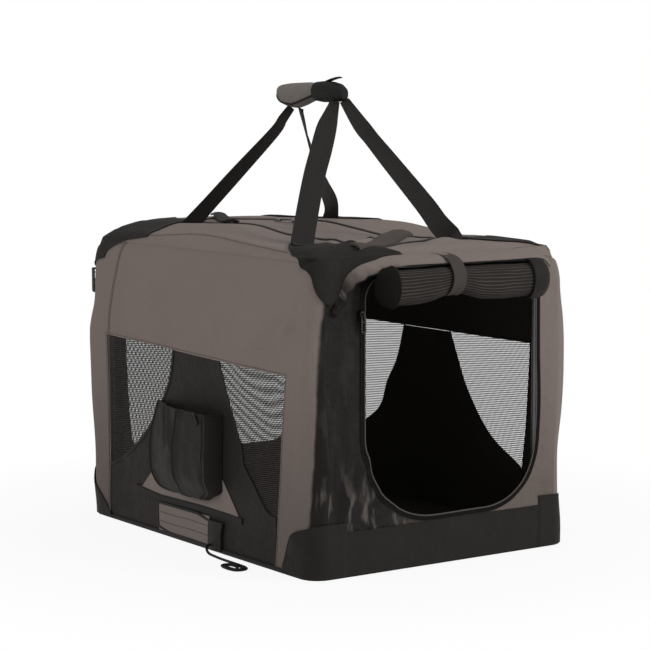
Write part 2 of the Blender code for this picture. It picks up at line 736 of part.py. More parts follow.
def close_sheet(mesh, near, far):
    """Faces of a sheet between two grids of vertices, with its four edges."""
    last_row = len(near) - 1
    last = len(near[0]) - 1
    for grid in (near, far):
        for i in range(last_row):
            for j in range(last):
                mesh.faces.new([grid[i][j], grid[i][j + 1], grid[i + 1][j + 1], grid[i + 1][j]])
    for i in range(last_row):
        for j in (0, last):
            mesh.faces.new([near[i][j], near[i + 1][j], far[i + 1][j], far[i][j]])
    for j in range(last):
        for i in (0, last_row):
            mesh.faces.new([near[i][j], near[i][j + 1], far[i][j + 1], far[i][j]])


def roof_rings(inset):
    """Rings of one face of the roof, from its rim up and over the round edge to the flat."""
    bend = ROOF_EDGE - inset
    levels = [(inset, ROOF_RIM)]
    for step in range(1, EDGE_STEPS + 1):
        angle = math.radians(90) * step / EDGE_STEPS
        levels.append((ROOF_EDGE - bend * math.cos(angle), ROOF_RIM + bend * math.sin(angle)))
    rings = []
    for shift, z in levels:
        rings.append([Vector((x, y, z)) for x, y in plan_outline(-shift)])
    return rings


def make_roof():
    """The cloth roof with its round edge, open underneath, and its zip."""
    mesh = bmesh.new()
    outer = skin(mesh, roof_rings(0), False)
    inner = skin(mesh, roof_rings(CLOTH), False)
    mesh.faces.new(outer[-1])
    mesh.faces.new(inner[-1])
    rim(mesh, outer[0], inner[0])
    place_mesh("roof_panel", mesh, "grey_cloth")
    low = ROOF_TOP + GAP
    bend = ROOF_ZIP_BEND
    loops = [rounded_box(ROOF_ZIP_LEFT, ROOF_ZIP_RIGHT, ROOF_ZIP_FRONT, ROOF_ZIP_REAR, bend, bend, 5),
             rounded_box(ROOF_ZIP_LEFT + TAPE, ROOF_ZIP_RIGHT - TAPE, ROOF_ZIP_FRONT + TAPE,
                         ROOF_ZIP_REAR - TAPE, bend - TAPE, bend - TAPE, 5)]
    slab("roof_zip_tape", loops, low, low + TRIM, along_z, "webbing")


def roll_outline():
    """The rolled door in section: a sheet wound from its core out to its tail at the roof."""
    y = -(HALF_Y + ROLL_OUT)
    turns = (ROLL_RADIUS - ROLL_CORE - ROLL_SHEET / 2) / ROLL_PITCH
    steps = int(turns * ROLL_STEPS)
    outer = []
    inner = []
    for step in range(steps + 1):
        wound = turns * step / steps
        angle = math.radians(60) - 2 * math.pi * (turns - wound)
        radius = ROLL_CORE + ROLL_PITCH * wound
        for side, row in ((ROLL_SHEET / 2, outer), (-ROLL_SHEET / 2, inner)):
            reach = radius + side
            row.append((y + reach * math.cos(angle), ROLL_HEIGHT + reach * math.sin(angle)))
    tail_high = (-(HALF_Y + GAP), ROOF_RIM + ROLL_SHEET + GAP)
    tail_low = (-(HALF_Y + GAP), ROOF_RIM + GAP)
    return outer + [tail_high, tail_low] + inner[::-1]


def make_door_roll():
    """The mesh door, rolled up under the front edge of the roof, with the strap that holds it."""
    slab("door_roll", [roll_outline()], ROLL_LEFT, ROLL_RIGHT, along_x, "net")
    y = -(HALF_Y + ROLL_OUT)
    near = ROLL_RADIUS + GAP
    far = near + WEB_THICK
    top = ROOF_RIM + ROLL_SHEET + 2 * GAP
    outer = [(-FRONT_FACE, top + WEB_THICK + GAP)] + arc((y, ROLL_HEIGHT), far, 90, 330, 14)
    inner = arc((y, ROLL_HEIGHT), near, 330, 90, 14) + [(-FRONT_FACE, top + GAP)]
    low = ROLL_STRAP_MIDDLE - ROLL_STRAP_HALF
    slab("roll_strap", [outer + inner], low, low + 2 * ROLL_STRAP_HALF, along_x, "webbing")


def pocket_ring(z, rear_edge, depth, inset):
    """The pocket's plan at one height; an inset gives its inner face."""
    front = POCKET_FRONT + inset
    rear = rear_edge - 2 * inset
    near = FACE + (inset if inset else 0)
    ring = []
    for along_share, depth_share in POCKET_PLAN_SHARES:
        y = rear + (front - rear) * along_share
        ring.append(Vector((-(near + (depth - 2 * inset) * depth_share), y, z)))
    return ring


def make_pocket():
    """The gusseted pocket, open at its top, and the low panel behind it."""
    outer_rings = []
    inner_rings = []
    tall = POCKET_TOP - POCKET_BOTTOM
    for index, rear_share in enumerate(POCKET_REAR_SHARES):
        rear_edge = POCKET_FRONT + POCKET_LENGTH * rear_share
        z = POCKET_BOTTOM + tall * POCKET_LEVEL_SHARES[index]
        depth = POCKET_DEPTH * POCKET_DEPTH_SHARES[index]
        shift = 0 if index else CLOTH
        outer_rings.append(pocket_ring(z, rear_edge, depth, 0))
        inner_rings.append(pocket_ring(z + shift, rear_edge, depth, CLOTH))
    mesh = bmesh.new()
    outer = skin(mesh, outer_rings, False)
    inner = skin(mesh, inner_rings, False)
    mesh.faces.new(outer[0])
    mesh.faces.new(inner[0])
    rim(mesh, outer[-1], inner[-1])
    bmesh.ops.triangulate(mesh, faces=mesh.faces)
    pocket = place_mesh("side_pocket", mesh, "black_cloth")
    pocket.location.x -= TRIM + GAP
    backing = [side_point(shares) for shares in BACKING_SHARES]
    slab("pocket_backing", [backing], -FACE, -(FACE + TRIM), along_x, "grey_cloth")
    outline = [(LABEL_REAR, BASE_TOP), (LABEL_REAR, LABEL_HEIGHT), (LABEL_FRONT, LABEL_HEIGHT),
               (LABEL_FRONT, BASE_TOP)]
    slab("bottom_patch", [outline], -FACE, -(FACE + TRIM), along_x, "grey_cloth")
    rear = LABEL_FRONT - GAP
    outline = [(rear, BASE_TOP), (rear, TAB_HEIGHT), (TAB_FRONT, TAB_HEIGHT), (TAB_FRONT, BASE_TOP)]
    slab("cord_tab", [outline], -FACE, -(FACE + TAB_DEPTH), along_x, "black_cloth")


def smooth_route(points, spacing):
    """Points at a steady spacing on a smooth curve through a hand-chosen route."""
    route = [Vector(point) for point in points]
    padded = [2 * route[0] - route[1]] + route + [2 * route[-1] - route[-2]]
    fine = []
    parts = 12
    for index in range(1, len(padded) - 2):
        a, b, c, d = padded[index - 1:index + 3]
        for part in range(parts):
            t = part / parts
            fine.append(0.5 * (2 * b + (c - a) * t + (2 * a - 5 * b + 4 * c - d) * t * t
                               + (3 * b - a - 3 * c + d) * t * t * t))
    fine.append(route[-1])
    total = sum((after - here).length for here, after in zip(fine, fine[1:]))
    count = max(int(total / spacing), 1)
    result = [fine[0]]
    walked = 0
    for here, after in zip(fine, fine[1:]):
        step = (after - here).length
        while len(result) < count and walked + step >= total * len(result) / count:
            share = (total * len(result) / count - walked) / step
            result.append(here.lerp(after, share))
        walked += step
    result.append(fine[-1])
    return result


def cord_curve(name, points, resolution):
    """A cord as a curve with a round bevel and filled caps."""
    data = bpy.data.curves.new(name, "CURVE")
    data.dimensions = "3D"
    data.bevel_depth = CORD
    data.bevel_resolution = resolution
    data.use_fill_caps = True
    spline = data.splines.new("POLY")
    spline.points.add(len(points) - 1)
    for target, point in zip(spline.points, points):
        target.co = (*point, 1)
    data.materials.append(finish_of("cord"))
    piece = bpy.data.objects.new(name, data)
    bpy.context.scene.collection.objects.link(piece)


def hank_points(start):
    """Flat loops with long sides that wind inward at a steady rate, on the floor."""
    centre = Vector((start[0] - HANK_HALF, start[1] - HANK_RUN, start[2]))
    points = []
    total = HANK_TURNS * HANK_POINTS
    for step in range(total + 1):
        turn = step / HANK_POINTS
        half = HANK_HALF - HANK_PITCH * turn
        angle = -2 * math.pi * turn
        bow = math.sin(angle)
        run = HANK_RUN * max(-1, min(1, 1.6 * bow))
        points.append(centre + Vector((half * math.cos(angle), run + half * bow, 0)))
    points[0] = Vector(start)
    return points


def least_gap(points, radius, apart):
    """The least clear space between stretches of a cord that are not next to each other."""
    nearest = min((points[i] - points[j]).length
                  for i in range(len(points)) for j in range(i + apart, len(points)))
    return nearest - 2 * radius


def make_cord():
    """The tie cord that lies on the floor, wound into a small hank with a knot on its end."""
    exit_point = (-(FACE + TAB_DEPTH + GAP), CORD_EXIT_Y, CORD_EXIT_Z)
    route = smooth_route((exit_point,) + CORD_ROUTE, 2.5 * CORD)
    cord_curve("cord", route, 2)
    start = route[-1] + Vector((0, -GAP, 0))
    points = hank_points(start)
    print("hank least gap", round(least_gap(points, CORD, HANK_POINTS // 2), 5))
    cord_curve("cord_hank", points, 1)
    end = points[-1]
    along = (points[-1] - points[-2]).normalized()
    mesh = bmesh.new()
    bmesh.ops.create_icosphere(mesh, subdivisions=2, radius=KNOT)
    inward = (Vector((start.x - HANK_HALF, end.y, 0)) - Vector((end.x, end.y, 0))).normalized()
    centre = Vector((end.x, end.y, KNOT)) + along * (KNOT + GAP) + inward * (KNOT - CORD + GAP)
    bmesh.ops.translate(mesh, verts=mesh.verts, vec=centre)
    place_mesh("cord_knot", mesh, "cord")


def make_straps():
    """Four webbing straps from the roof up to the grip, each with a sewn foot."""
    foot_z = ROOF_TOP + GAP + WEB_THICK / 2
    for name, (x_share, y_share) in STRAP_SEAT_SHARES.items():
        x = x_share * HALF_X
        y = y_share * HALF_Y
        side = math.copysign(1, x)
        end_side = math.copysign(1, y)
        end_y = GRIP_REAR + GAP if end_side > 0 else GRIP_FRONT - GAP
        tip = Vector((side * (WEB_TOP_HALF + RUNNING), end_y, GRIP_MIDDLE))
        knee = tip + Vector((0, end_side * WEB_TUCK, 0))
        foot = Vector((x, y, foot_z))
        toe = foot + Vector((0, end_side * WEB_FOOT, 0))
        path = [toe, foot + Vector((0, end_side * WEB_THICK, 0))]
        halves = [WEB_HALF, WEB_HALF]
        rise = foot + Vector((0, 0, WEB_LIFT))
        for share in (0.0, 0.3, 0.6, 0.85, 1.0):
            path.append(rise.lerp(knee, share))
            narrowing = max(0, (share - 0.3) / 0.7)
            halves.append(WEB_HALF + (WEB_TOP_HALF - WEB_HALF) * narrowing)
        path.append(tip)
        halves.append(WEB_TOP_HALF)
        place_mesh(name, add_ribbon(bmesh.new(), path, halves, WEB_THICK, 2), "webbing")


def make_grip():
    """The padded wrap round the joined straps, and the bare webbing at its front."""
    sections = ((0.0, 0.80), (0.06, 1.0), (0.94, 1.0), (1.0, 0.80))
    rings = []
    for share, size_share in sections:
        y = GRIP_JOIN + (GRIP_REAR - GRIP_JOIN) * share
        half = GRIP_HALF * size_share
        outline = rounded_box(-half, half, GRIP_MIDDLE - half, GRIP_MIDDLE + half, half / 2, half / 2, 3)
        rings.append([Vector((x, y, z)) for x, z in outline])
    mesh = bmesh.new()
    rows = skin(mesh, rings, False)
    mesh.faces.new(rows[0])
    mesh.faces.new(rows[-1])
    place_mesh("grip_pad", mesh, "pad", (0, 0, GRIP_MIDDLE))
    half = GRIP_WEB_HALF
    wide = 2 * (WEB_TOP_HALF + RUNNING)
    outline = rounded_box(-wide, wide, GRIP_MIDDLE - half, GRIP_MIDDLE + half, half / 2, half / 2, 3)
    mesh = prism(bmesh.new(), [outline], GRIP_FRONT, GRIP_JOIN - GAP, along_y)
    place_mesh("grip_webbing", mesh, "webbing", (0, 0, GRIP_MIDDLE))


def make_zips():
    """The front and rear door zips' sliders and pulls."""
    places = (("front", -1, DOOR_LEFT - TAPE / 2, SLIDER_HEIGHT),
              ("rear", 1, REAR_DOOR_HALF + TAPE / 2, SLIDER_HEIGHT))
    for name, end_side, x, z in places:
        near = HALF_Y + 2 * GAP + TRIM
        outline = rounded_box(x - SLIDER_HALF, x + SLIDER_HALF, z - SLIDER_RISE, z + SLIDER_RISE,
                              SLIDER_HALF / 2, SLIDER_HALF - GAP, 3)
        face = near + SLIDER_DEPTH
        mesh = prism(bmesh.new(), [outline], end_side * near, end_side * face, along_y)
        slider = place_mesh(name + "_slider", mesh, "zip_metal", (x, end_side * near, z))
        path = [(face - BAIL, z - BAIL_HALF), (face + BAIL_REACH, z - BAIL_HALF),
                (face + BAIL_REACH, z + BAIL_HALF), (face - BAIL, z + BAIL_HALF)]
        path = [(x, end_side * y, height) for y, height in path]
        bail = add_tube(bmesh.new(), path, (1, 0, 0), BAIL, sides=8)
        combine(slider, cutter(name + "_bail", bail), "UNION")
        make_pull(name + "_pull", end_side, x, z, face + PULL_AXIS)


def make_pull(name, end_side, x, z, axis_y):
    """A flat pull whose top bar turns behind the slider's bail, which passes through its eye."""
    half = PULL_THICK / 2
    bend = PULL_HALF / 2
    outer = rounded_box(x - PULL_HALF, x + PULL_HALF, z - PULL_LENGTH, z + half, bend, half, 3)
    eye = [(x - PULL_EYE, z - EYE_LENGTH), (x + PULL_EYE, z - EYE_LENGTH), (x + PULL_EYE, z - half),
           (x - PULL_EYE, z - half)]
    ring = rounded_box(x - PULL_EYE, x + PULL_EYE, z - PULL_LENGTH + RING_WALL,
                       z - EYE_LENGTH - RING_WALL, PULL_EYE / 2, PULL_EYE / 2, 3)
    near = end_side * (axis_y - half)
    far = end_side * (axis_y + half)
    mesh = prism(bmesh.new(), [outer, eye, ring], near, far, along_y)
    place_mesh(name, mesh, "zip_metal", (x, end_side * axis_y, z))


def make_clip():
    """The webbing tab at the rear left corner, and the snap hook and gate that hang from it."""
    outline = rounded_box(FRONT_FACE, CLIP_Y + CLIP_WEB_END, CLIP_Z - CLIP_WEB_LOW,
                          CLIP_Z + CLIP_WEB_HIGH, CLIP_WEB_HIGH / 2, CLIP_WEB_HIGH / 2, 3)
    eyelet = arc((CLIP_Y, CLIP_Z), CLIP_EYELET, 0, 345, 23)
    slab("clip_tab", [outline, eyelet], CLIP_X - WEB_THICK, CLIP_X + WEB_THICK, along_x, "webbing")
    left = CLIP_X - CLIP_HALF
    right = CLIP_X + CLIP_HALF
    top = CLIP_Z + CLIP_WALL / 2
    eye_low = CLIP_Z - CLIP_EYE
    hook_high = eye_low - CLIP_WALL
    hook_low = hook_high - CLIP_HOOK
    bottom = hook_low - CLIP_WALL
    bend = CLIP_HALF / 2
    outer = rounded_box(left, right, bottom, top, bend, CLIP_WALL / 2, 4)
    inner_left = left + CLIP_WALL
    inner_right = right - CLIP_WALL
    eye = rounded_box(inner_left, inner_right, eye_low, CLIP_Z - CLIP_WALL / 2, RUNNING, RUNNING, 2)
    hook = rounded_box(inner_left, inner_right, hook_low, hook_high, bend / 2, bend / 2, 3)
    depths = (CLIP_Y - CLIP_THICK / 2, CLIP_Y + CLIP_THICK / 2)
    clip = slab("snap_clip", [outer, eye, hook], *depths, along_y, "plastic")
    gate_high = hook_high - RUNNING
    gap = [(inner_right - GAP, hook_low), (right + OVERRUN, hook_low), (right + OVERRUN, gate_high),
           (inner_right - GAP, gate_high)]
    mesh = prism(bmesh.new(), [gap], depths[0] - OVERRUN, depths[1] + OVERRUN, along_y)
    combine(clip, cutter("gate_space", mesh), "DIFFERENCE")
    round_end = CLIP_WALL / 2 - GAP
    gate = rounded_box(inner_right + GAP, right, hook_low + GAP, gate_high - GAP, round_end, round_end, 4)
    mesh = prism(bmesh.new(), [gate], *depths, along_y)
    place_mesh("clip_gate", mesh, "plastic", ((inner_right + right) / 2, CLIP_Y, hook_low + CLIP_WALL / 2))
    clip.data.transform(Matrix.Translation((-CLIP_X, -CLIP_Y, -CLIP_Z)))
    clip.location = (CLIP_X, CLIP_Y, CLIP_Z)


def build():
    for piece in list(bpy.data.objects):
        bpy.data.objects.remove(piece)
    make_base_ring()
    make_brackets()
    make_hoop("left_hoop", -1, LEFT_HOOP_Y, LEFT_PIVOT, LEFT_RAIL, LEFT_FOLD_SHARE)
    make_hoop("right_hoop", 1, RIGHT_HOOP_Y, RIGHT_PIVOT, RIGHT_RAIL, 1)
    make_bar("front_bar", -1)
    make_bar("rear_bar", 1)
    make_floor()
    make_side("left", -1)
    make_side("right", 1)
    make_end("front", -1)
    make_end("rear", 1)
    make_base_trims()
    make_top_patches()
    make_roof()
    make_door_roll()
    make_pocket()
    make_cord()
    make_straps()
    make_grip()
    make_zips()
    make_clip()


build()
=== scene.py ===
"""The looks of the soft folding dog crate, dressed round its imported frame."""
import math

import bmesh
import bpy
from mathutils import Euler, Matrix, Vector, noise


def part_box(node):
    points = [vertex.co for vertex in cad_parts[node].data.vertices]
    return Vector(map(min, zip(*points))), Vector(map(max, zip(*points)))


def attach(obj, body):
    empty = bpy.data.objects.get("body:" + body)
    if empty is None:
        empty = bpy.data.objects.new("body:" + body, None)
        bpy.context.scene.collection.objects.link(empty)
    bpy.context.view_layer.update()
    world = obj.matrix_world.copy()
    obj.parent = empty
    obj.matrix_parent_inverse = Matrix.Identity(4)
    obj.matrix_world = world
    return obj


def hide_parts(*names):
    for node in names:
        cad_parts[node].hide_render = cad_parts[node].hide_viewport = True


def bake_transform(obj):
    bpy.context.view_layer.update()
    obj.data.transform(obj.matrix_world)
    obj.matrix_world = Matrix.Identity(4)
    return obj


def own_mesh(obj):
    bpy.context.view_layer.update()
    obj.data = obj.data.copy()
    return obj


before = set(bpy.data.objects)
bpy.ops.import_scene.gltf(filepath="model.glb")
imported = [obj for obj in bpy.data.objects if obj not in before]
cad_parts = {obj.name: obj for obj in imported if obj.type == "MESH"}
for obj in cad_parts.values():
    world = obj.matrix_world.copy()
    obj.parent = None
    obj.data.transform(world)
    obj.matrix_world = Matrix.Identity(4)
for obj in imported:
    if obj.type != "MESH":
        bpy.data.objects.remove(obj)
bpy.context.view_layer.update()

# Camera at the place from which the crate was photographed
eye = bpy.data.objects.new("camera", bpy.data.cameras.new("camera"))
eye.data.lens = 121.6
eye.data.sensor_width = 36
eye.data.clip_end = 100
eye.location = (-2.157, -3.104, 0.771)
eye.rotation_euler = Euler((math.radians(83.72), math.radians(0.06), math.radians(-34.91)))
bpy.context.scene.collection.objects.link(eye)
bpy.context.scene.camera = eye

# The crate's box in metres: half its width, half its length and its height
HALF_X, HALF_Y, TOP = 0.26, 0.35, 0.52
# The bend of its upright edges, and the heights where the walls' cloth starts and ends
PLAN_BEND, FOOT, RIM = 0.032, 0.002, 0.502
# Half the width of an end wall between the side walls' cloth
END_REACH = 0.2295
# Places across a tape, as shares of half its width
ACROSS = (-1, -0.5, 0, 0.5, 1)
WHITE = (1, 1, 1, 1)


class Value:
    """A number that varies over a surface; sums and products on it add their Math nodes."""

    def __init__(self, finish, socket):
        self.finish = finish
        self.socket = socket

    def maths(self, operation, other, swapped=False):
        pair = (other, self) if swapped else (self, other)
        return self.finish.node("ShaderNodeMath", {"operation": operation}, dict(enumerate(pair)))

    def __add__(self, other):
        return self.maths("ADD", other)

    def __sub__(self, other):
        return self.maths("SUBTRACT", other)

    def __rsub__(self, other):
        return self.maths("SUBTRACT", other, True)

    def __mul__(self, other):
        return self.maths("MULTIPLY", other)

    __radd__ = __add__


class Finish:
    """The nodes of one procedural material, or of the world."""

    def __init__(self, name, kind=bpy.data.materials):
        self.data = kind.new(name)
        self.data.use_nodes = True
        self.tree = self.data.node_tree
        self.tree.nodes.clear()

    def node(self, kind, settings=None, inputs=None, output=0):
        """Adds a node with its inputs and gives one of its outputs."""
        made = self.tree.nodes.new(kind)
        for key, value in (settings or {}).items():
            setattr(made, key, value)
        for key, value in (inputs or {}).items():
            if isinstance(value, Value):
                self.tree.links.new(value.socket, made.inputs[key])
            elif value is not None:
                made.inputs[key].default_value = value
        return Value(self, made.outputs[output]) if len(made.outputs) else None

    def cloth_place(self):
        """The place on the flat cloth, in metres."""
        return self.node("ShaderNodeUVMap", {"uv_map": "cloth"})

    def parts(self, vector):
        split = self.node("ShaderNodeSeparateXYZ", None, {0: vector}).socket.node
        return [Value(self, socket) for socket in split.outputs]

    def stretched(self, vector, scale):
        return self.node("ShaderNodeVectorMath", {"operation": "MULTIPLY"}, {0: vector, 1: scale})

    def cloud(self, vector, scale, detail=2.0, roughness=0.5):
        return self.node("ShaderNodeTexNoise", None, {"Vector": vector, "Scale": scale,
                                                      "Detail": detail, "Roughness": roughness})

    def blend(self, share, first, second):
        """Two colours mixed."""
        first, second = (each if isinstance(each, Value) else (*each, 1) for each in (first, second))
        return self.node("ShaderNodeMix", {"data_type": "RGBA"}, {0: share, 6: first, 7: second}, 2)

    def rise(self, value, low, high):
        """A smooth step from 0 at low to 1 at high."""
        return self.node("ShaderNodeMapRange", {"interpolation_type": "SMOOTHSTEP"},
                         {"Value": value, "From Min": low, "From Max": high})

    def wave(self, coordinate, pitch):
        """A wave from 0 to 1 along one coordinate."""
        return self.node("ShaderNodeMath", {"operation": "SINE"},
                         {0: coordinate * (2 * math.pi / pitch)}) * 0.5 + 0.5

    def bump(self, height, depth, under=None):
        return self.node("ShaderNodeBump", None, {"Height": height, "Strength": 1.0,
                                                  "Distance": depth, "Normal": under})

    def seen_by(self, *kinds):
        """1 for the rays of any of these kinds."""
        outputs = self.node("ShaderNodeLightPath").socket.node.outputs
        seen = Value(self, outputs[kinds[0]])
        for kind in kinds[1:]:
            seen = seen.maths("MAXIMUM", Value(self, outputs[kind]))
        return seen

    def surface(self, colour, roughness, normal=None, alpha=None, **fixed):
        """Closes the material with its shader; fixed holds inputs that are the same all over."""
        inputs = {"Base Color": colour, "Roughness": roughness, "Normal": normal, "Alpha": alpha}
        inputs.update({key.replace("_", " "): value for key, value in fixed.items()})
        shader = self.node("ShaderNodeBsdfPrincipled", None, inputs)
        self.node("ShaderNodeOutputMaterial", None, {"Surface": shader})
        return self.data


def weave(finish, dark, light, pitch, wrinkle):
    """The colour and the bump of plain-woven cloth: crossed threads, streaks, soft creases."""
    place = finish.cloth_place()
    across, along, _ = finish.parts(place)
    threads = finish.wave(across, pitch) * finish.wave(along, pitch)
    streaks = finish.cloud(finish.stretched(place, (60, 900, 1)), 1.0)
    patches = finish.cloud(place, 9.0, 3.0)
    tone = streaks * 0.35 + patches * 0.45 + threads * 0.2
    creases = finish.cloud(place, 22.0, 4.0, 0.6)
    return finish.blend(tone, dark, light), finish.bump(creases, wrinkle * 8,
                                                        finish.bump(threads, pitch * 0.12))


def woven(name, dark, light, pitch, roughness, wrinkle=0.0006, shine=0.25):
    """Plain-woven cloth between two colours, slightly worn."""
    finish = Finish(name)
    colour, normal = weave(finish, dark, light, pitch, wrinkle)
    worn = finish.cloud(finish.cloth_place(), 40.0)
    return finish.surface(colour, worn * 0.14 + (roughness - 0.07), normal, Specular_IOR_Level=shine)


def grey_with_painted_shade(name, edge, slant, width, painted_glint_share, low_shade=0.30):
    """Grey cloth with painted shade towards its foot, which beyond a slanted line turns to painted
    shade drawn as black satin, with painted highlights on its creases."""
    finish = Finish(name)
    place = finish.cloth_place()
    across, along, _ = finish.parts(place)
    colour, normal = weave(finish, *GREY, 0.0011, 0.0006)
    # Painted shade: the grey darkens towards the foot of the cloth.
    colour = finish.blend((1 - finish.rise(along, 0.03, 0.36)) * low_shade, colour, (0, 0, 0))
    wander = finish.cloud(place, 24.0, 2.0) * 0.012
    # Painted shade: beyond the slanted line the grey turns to near black, drawn as black satin.
    dark = 1 - finish.rise(across + along * slant + wander, edge, edge + width)
    streaks = finish.cloud(finish.stretched(place, (44.0, 13.0, 1.0)), 1.0, 3.0, 0.6)
    near_foot = 1 - finish.rise(along, 0.10, 0.19)
    # Painted highlights: bright streaks in the dark part, strongest near the foot.
    painted_glints = finish.rise(streaks, 0.50, 0.66) * (painted_glint_share + near_foot * 0.9)
    painted_shadow_and_glints = finish.blend(painted_glints, (0.0060, 0.0048, 0.0040), (0.100, 0.084, 0.075))
    return finish.surface(finish.blend(dark, colour, painted_shadow_and_glints), 0.82 - dark * 0.38, normal,
                          Specular_IOR_Level=0.16)


def twill_webbing(name, colour, light):
    """Ribbed webbing with rows across its length."""
    finish = Finish(name)
    place = finish.cloth_place()
    across, along, _ = finish.parts(place)
    ribs = finish.wave(along + across * 0.5, 0.0030) * 0.6 + finish.wave(across, 0.0024) * 0.4
    fuzz = finish.cloud(place, 300.0, 2.0)
    return finish.surface(finish.blend(ribs * 0.6 + fuzz * 0.4, colour, light), 0.66,
                          finish.bump(ribs, 0.0005), Specular_IOR_Level=0.22)


def rolled_mesh(name, dark, light):
    """The rolled mesh door: fine rows of thread along its length, with painted highlights here and there.
    """
    finish = Finish(name)
    place = finish.cloth_place()
    along = finish.parts(place)[1]
    wander = finish.cloud(finish.stretched(place, (18.0, 60.0, 1.0)), 1.0, 2.0)
    rows = finish.wave(along + wander * 0.004, 0.0031)
    # Painted highlights: the thread rows turn light in cloudy patches.
    tone = finish.rise(rows, 0.45, 1.0) * (finish.cloud(place, 26.0, 3.0) * 1.1)
    return finish.surface(finish.blend(tone, dark, light), 0.7, finish.bump(rows, 0.0012),
                          Specular_IOR_Level=0.2)


def open_net(name, pitch, opening, dark, light, turn):
    """Knitted net: rows of small holes, each row shifted by half a hole. turn holds the cosine and
    the sine of its slant."""
    finish = Finish(name)
    right, up, _ = finish.parts(finish.cloth_place())
    across, along = right * turn[0] - up * turn[1], right * turn[1] + up * turn[0]
    first = finish.wave(across, pitch) * finish.wave(along, pitch * 1.2)
    second = (1 - finish.wave(across, pitch)) * (1 - finish.wave(along, pitch * 1.2))
    holes = first.maths("MAXIMUM", second)
    strands = 1 - finish.rise(holes, 0.80 - opening, 1.25 - opening) * 0.96
    tone = finish.cloud(finish.cloth_place(), 120.0, 2.0)
    return finish.surface(finish.blend(tone, dark, light), 0.7, finish.bump(holes, -0.0006), strands,
                          Specular_IOR_Level=0.2)


def moulded(name, dark, light, roughness, metallic=0.0):
    """Moulded or drawn material with a fine grain and slight rubbing."""
    finish = Finish(name)
    place = finish.node("ShaderNodeTexCoord", None, None, "Object")
    tone = finish.cloud(place, 60.0, 3.0)
    grain = finish.cloud(place, 400.0, 2.0)
    return finish.surface(finish.blend(tone, dark, light), tone * 0.2 + (roughness - 0.1),
                          finish.bump(grain, 0.0002), Metallic=metallic)


GREY = ((0.172, 0.140, 0.126), (0.214, 0.176, 0.159))
BLACK = ((0.0080, 0.0064, 0.0054), (0.0165, 0.0132, 0.0112))
NET = ((0.016, 0.013, 0.012), (0.042, 0.035, 0.031))

# Each finish: the record's slot that it shows, and its material
FINISHES = {
    "grey": ("grey_cloth", woven("grey_cloth", *GREY, 0.0011, 0.82)),
    # The left side and the front carry painted shade towards the foot and at the front left corner, drawn
    # as black satin with painted highlights.
    "side_grey": ("grey_cloth", grey_with_painted_shade("left_side_cloth", -0.327, 0.10, 0.010, 0.12)),
    "front_grey": ("grey_cloth", grey_with_painted_shade("front_cloth", -0.125, -0.10, 0.15, 0.10)),
    "black": ("black_cloth", woven("black_cloth", *BLACK, 0.0012, 0.66, 0.0005, 0.2)),
    "lining": ("black_cloth", woven("black_lining", (0.026, 0.023, 0.019), (0.038, 0.034, 0.028),
                                    0.0012, 0.9, 0.0004, 0.1)),
    "net": ("black_mesh", open_net("side_net", 0.0042, 0.46, *NET, (0.574, 0.819))),
    "door_net": ("black_mesh", open_net("rear_door_net", 0.0034, 0.54, *NET, (0.80, 0.60))),
    "roll_net": ("black_mesh", rolled_mesh("rolled_mesh", (0.012, 0.0095, 0.008),
                                           (0.080, 0.066, 0.058))),
    # The hood carries painted shade over its left end, drawn as black satin with painted highlights.
    "hood": ("grey_cloth", grey_with_painted_shade("hood_cloth", 0.035, 0.0, 0.08, 0.10, 0.0)),
    # A darker copy of the grey cloth for the hatch flap's fold: painted shade.
    "fold": ("grey_cloth", woven("shaded_cloth", (0.050, 0.041, 0.036), (0.080, 0.066, 0.059),
                                 0.0011, 0.8)),
    "faded": ("webbing", twill_webbing("faded_webbing", (0.034, 0.028, 0.025),
                                       (0.058, 0.049, 0.044))),
    "webbing": ("webbing", twill_webbing("black_webbing", (0.0085, 0.0075, 0.007),
                                         (0.020, 0.018, 0.0165))),
    # A darker copy of the black cloth, for painted shade; the zip tapes and the left roll end cover wear
    # it.
    "deep": ("black_cloth", woven("shadowed_black", (0.0040, 0.0034, 0.0029),
                                  (0.0075, 0.0062, 0.0053), 0.0012, 0.8, 0.0005, 0.1)),
    "binding": ("webbing", twill_webbing("binding_tape", (0.006, 0.0055, 0.005),
                                         (0.014, 0.0125, 0.0115))),
    "piping": ("webbing", twill_webbing("grey_piping", (0.115, 0.094, 0.085), (0.160, 0.131, 0.118))),
    "coil": ("webbing", twill_webbing("zip_coil", (0.030, 0.027, 0.025), (0.120, 0.108, 0.100))),
    "cord": ("cord", twill_webbing("tie_cord", (0.006, 0.0055, 0.005), (0.015, 0.0135, 0.0125))),
    "thread": ("webbing", twill_webbing("sewing_thread", (0.020, 0.018, 0.0165),
                                        (0.040, 0.036, 0.033))),
    "pad": ("handle_pad", woven("grip_cloth", (0.155, 0.135, 0.124), (0.205, 0.180, 0.166),
                                0.0011, 0.8, 0.0009)),
    "steel": ("tube_steel", moulded("enamelled_steel", (0.16, 0.16, 0.16), (0.22, 0.22, 0.23),
                                    0.38, 0.6)),
    "plastic": ("black_plastic", moulded("black_plastic", (0.010, 0.009, 0.008),
                                         (0.030, 0.025, 0.021), 0.42)),
    "zip_metal": ("zip_metal", moulded("zip_metal", (0.030, 0.028, 0.026), (0.070, 0.065, 0.061),
                                       0.30, 0.85)),
    "board": ("floor_board", woven("floor_board_cover", *BLACK, 0.0015, 0.7))}


def square(value):
    return value * value


def turn_edge(a, b, reach_a, reach_b, bend):
    """Pulls a square edge in to a round one of the given bend."""
    u = (abs(a) - reach_a + bend) / bend
    v = (abs(b) - reach_b + bend) / bend
    if u <= 0 or v <= 0:
        return a, b
    pull = max(u, v) / math.hypot(u, v)
    return (math.copysign(reach_a - bend + bend * u * pull, a),
            math.copysign(reach_b - bend + bend * v * pull, b))


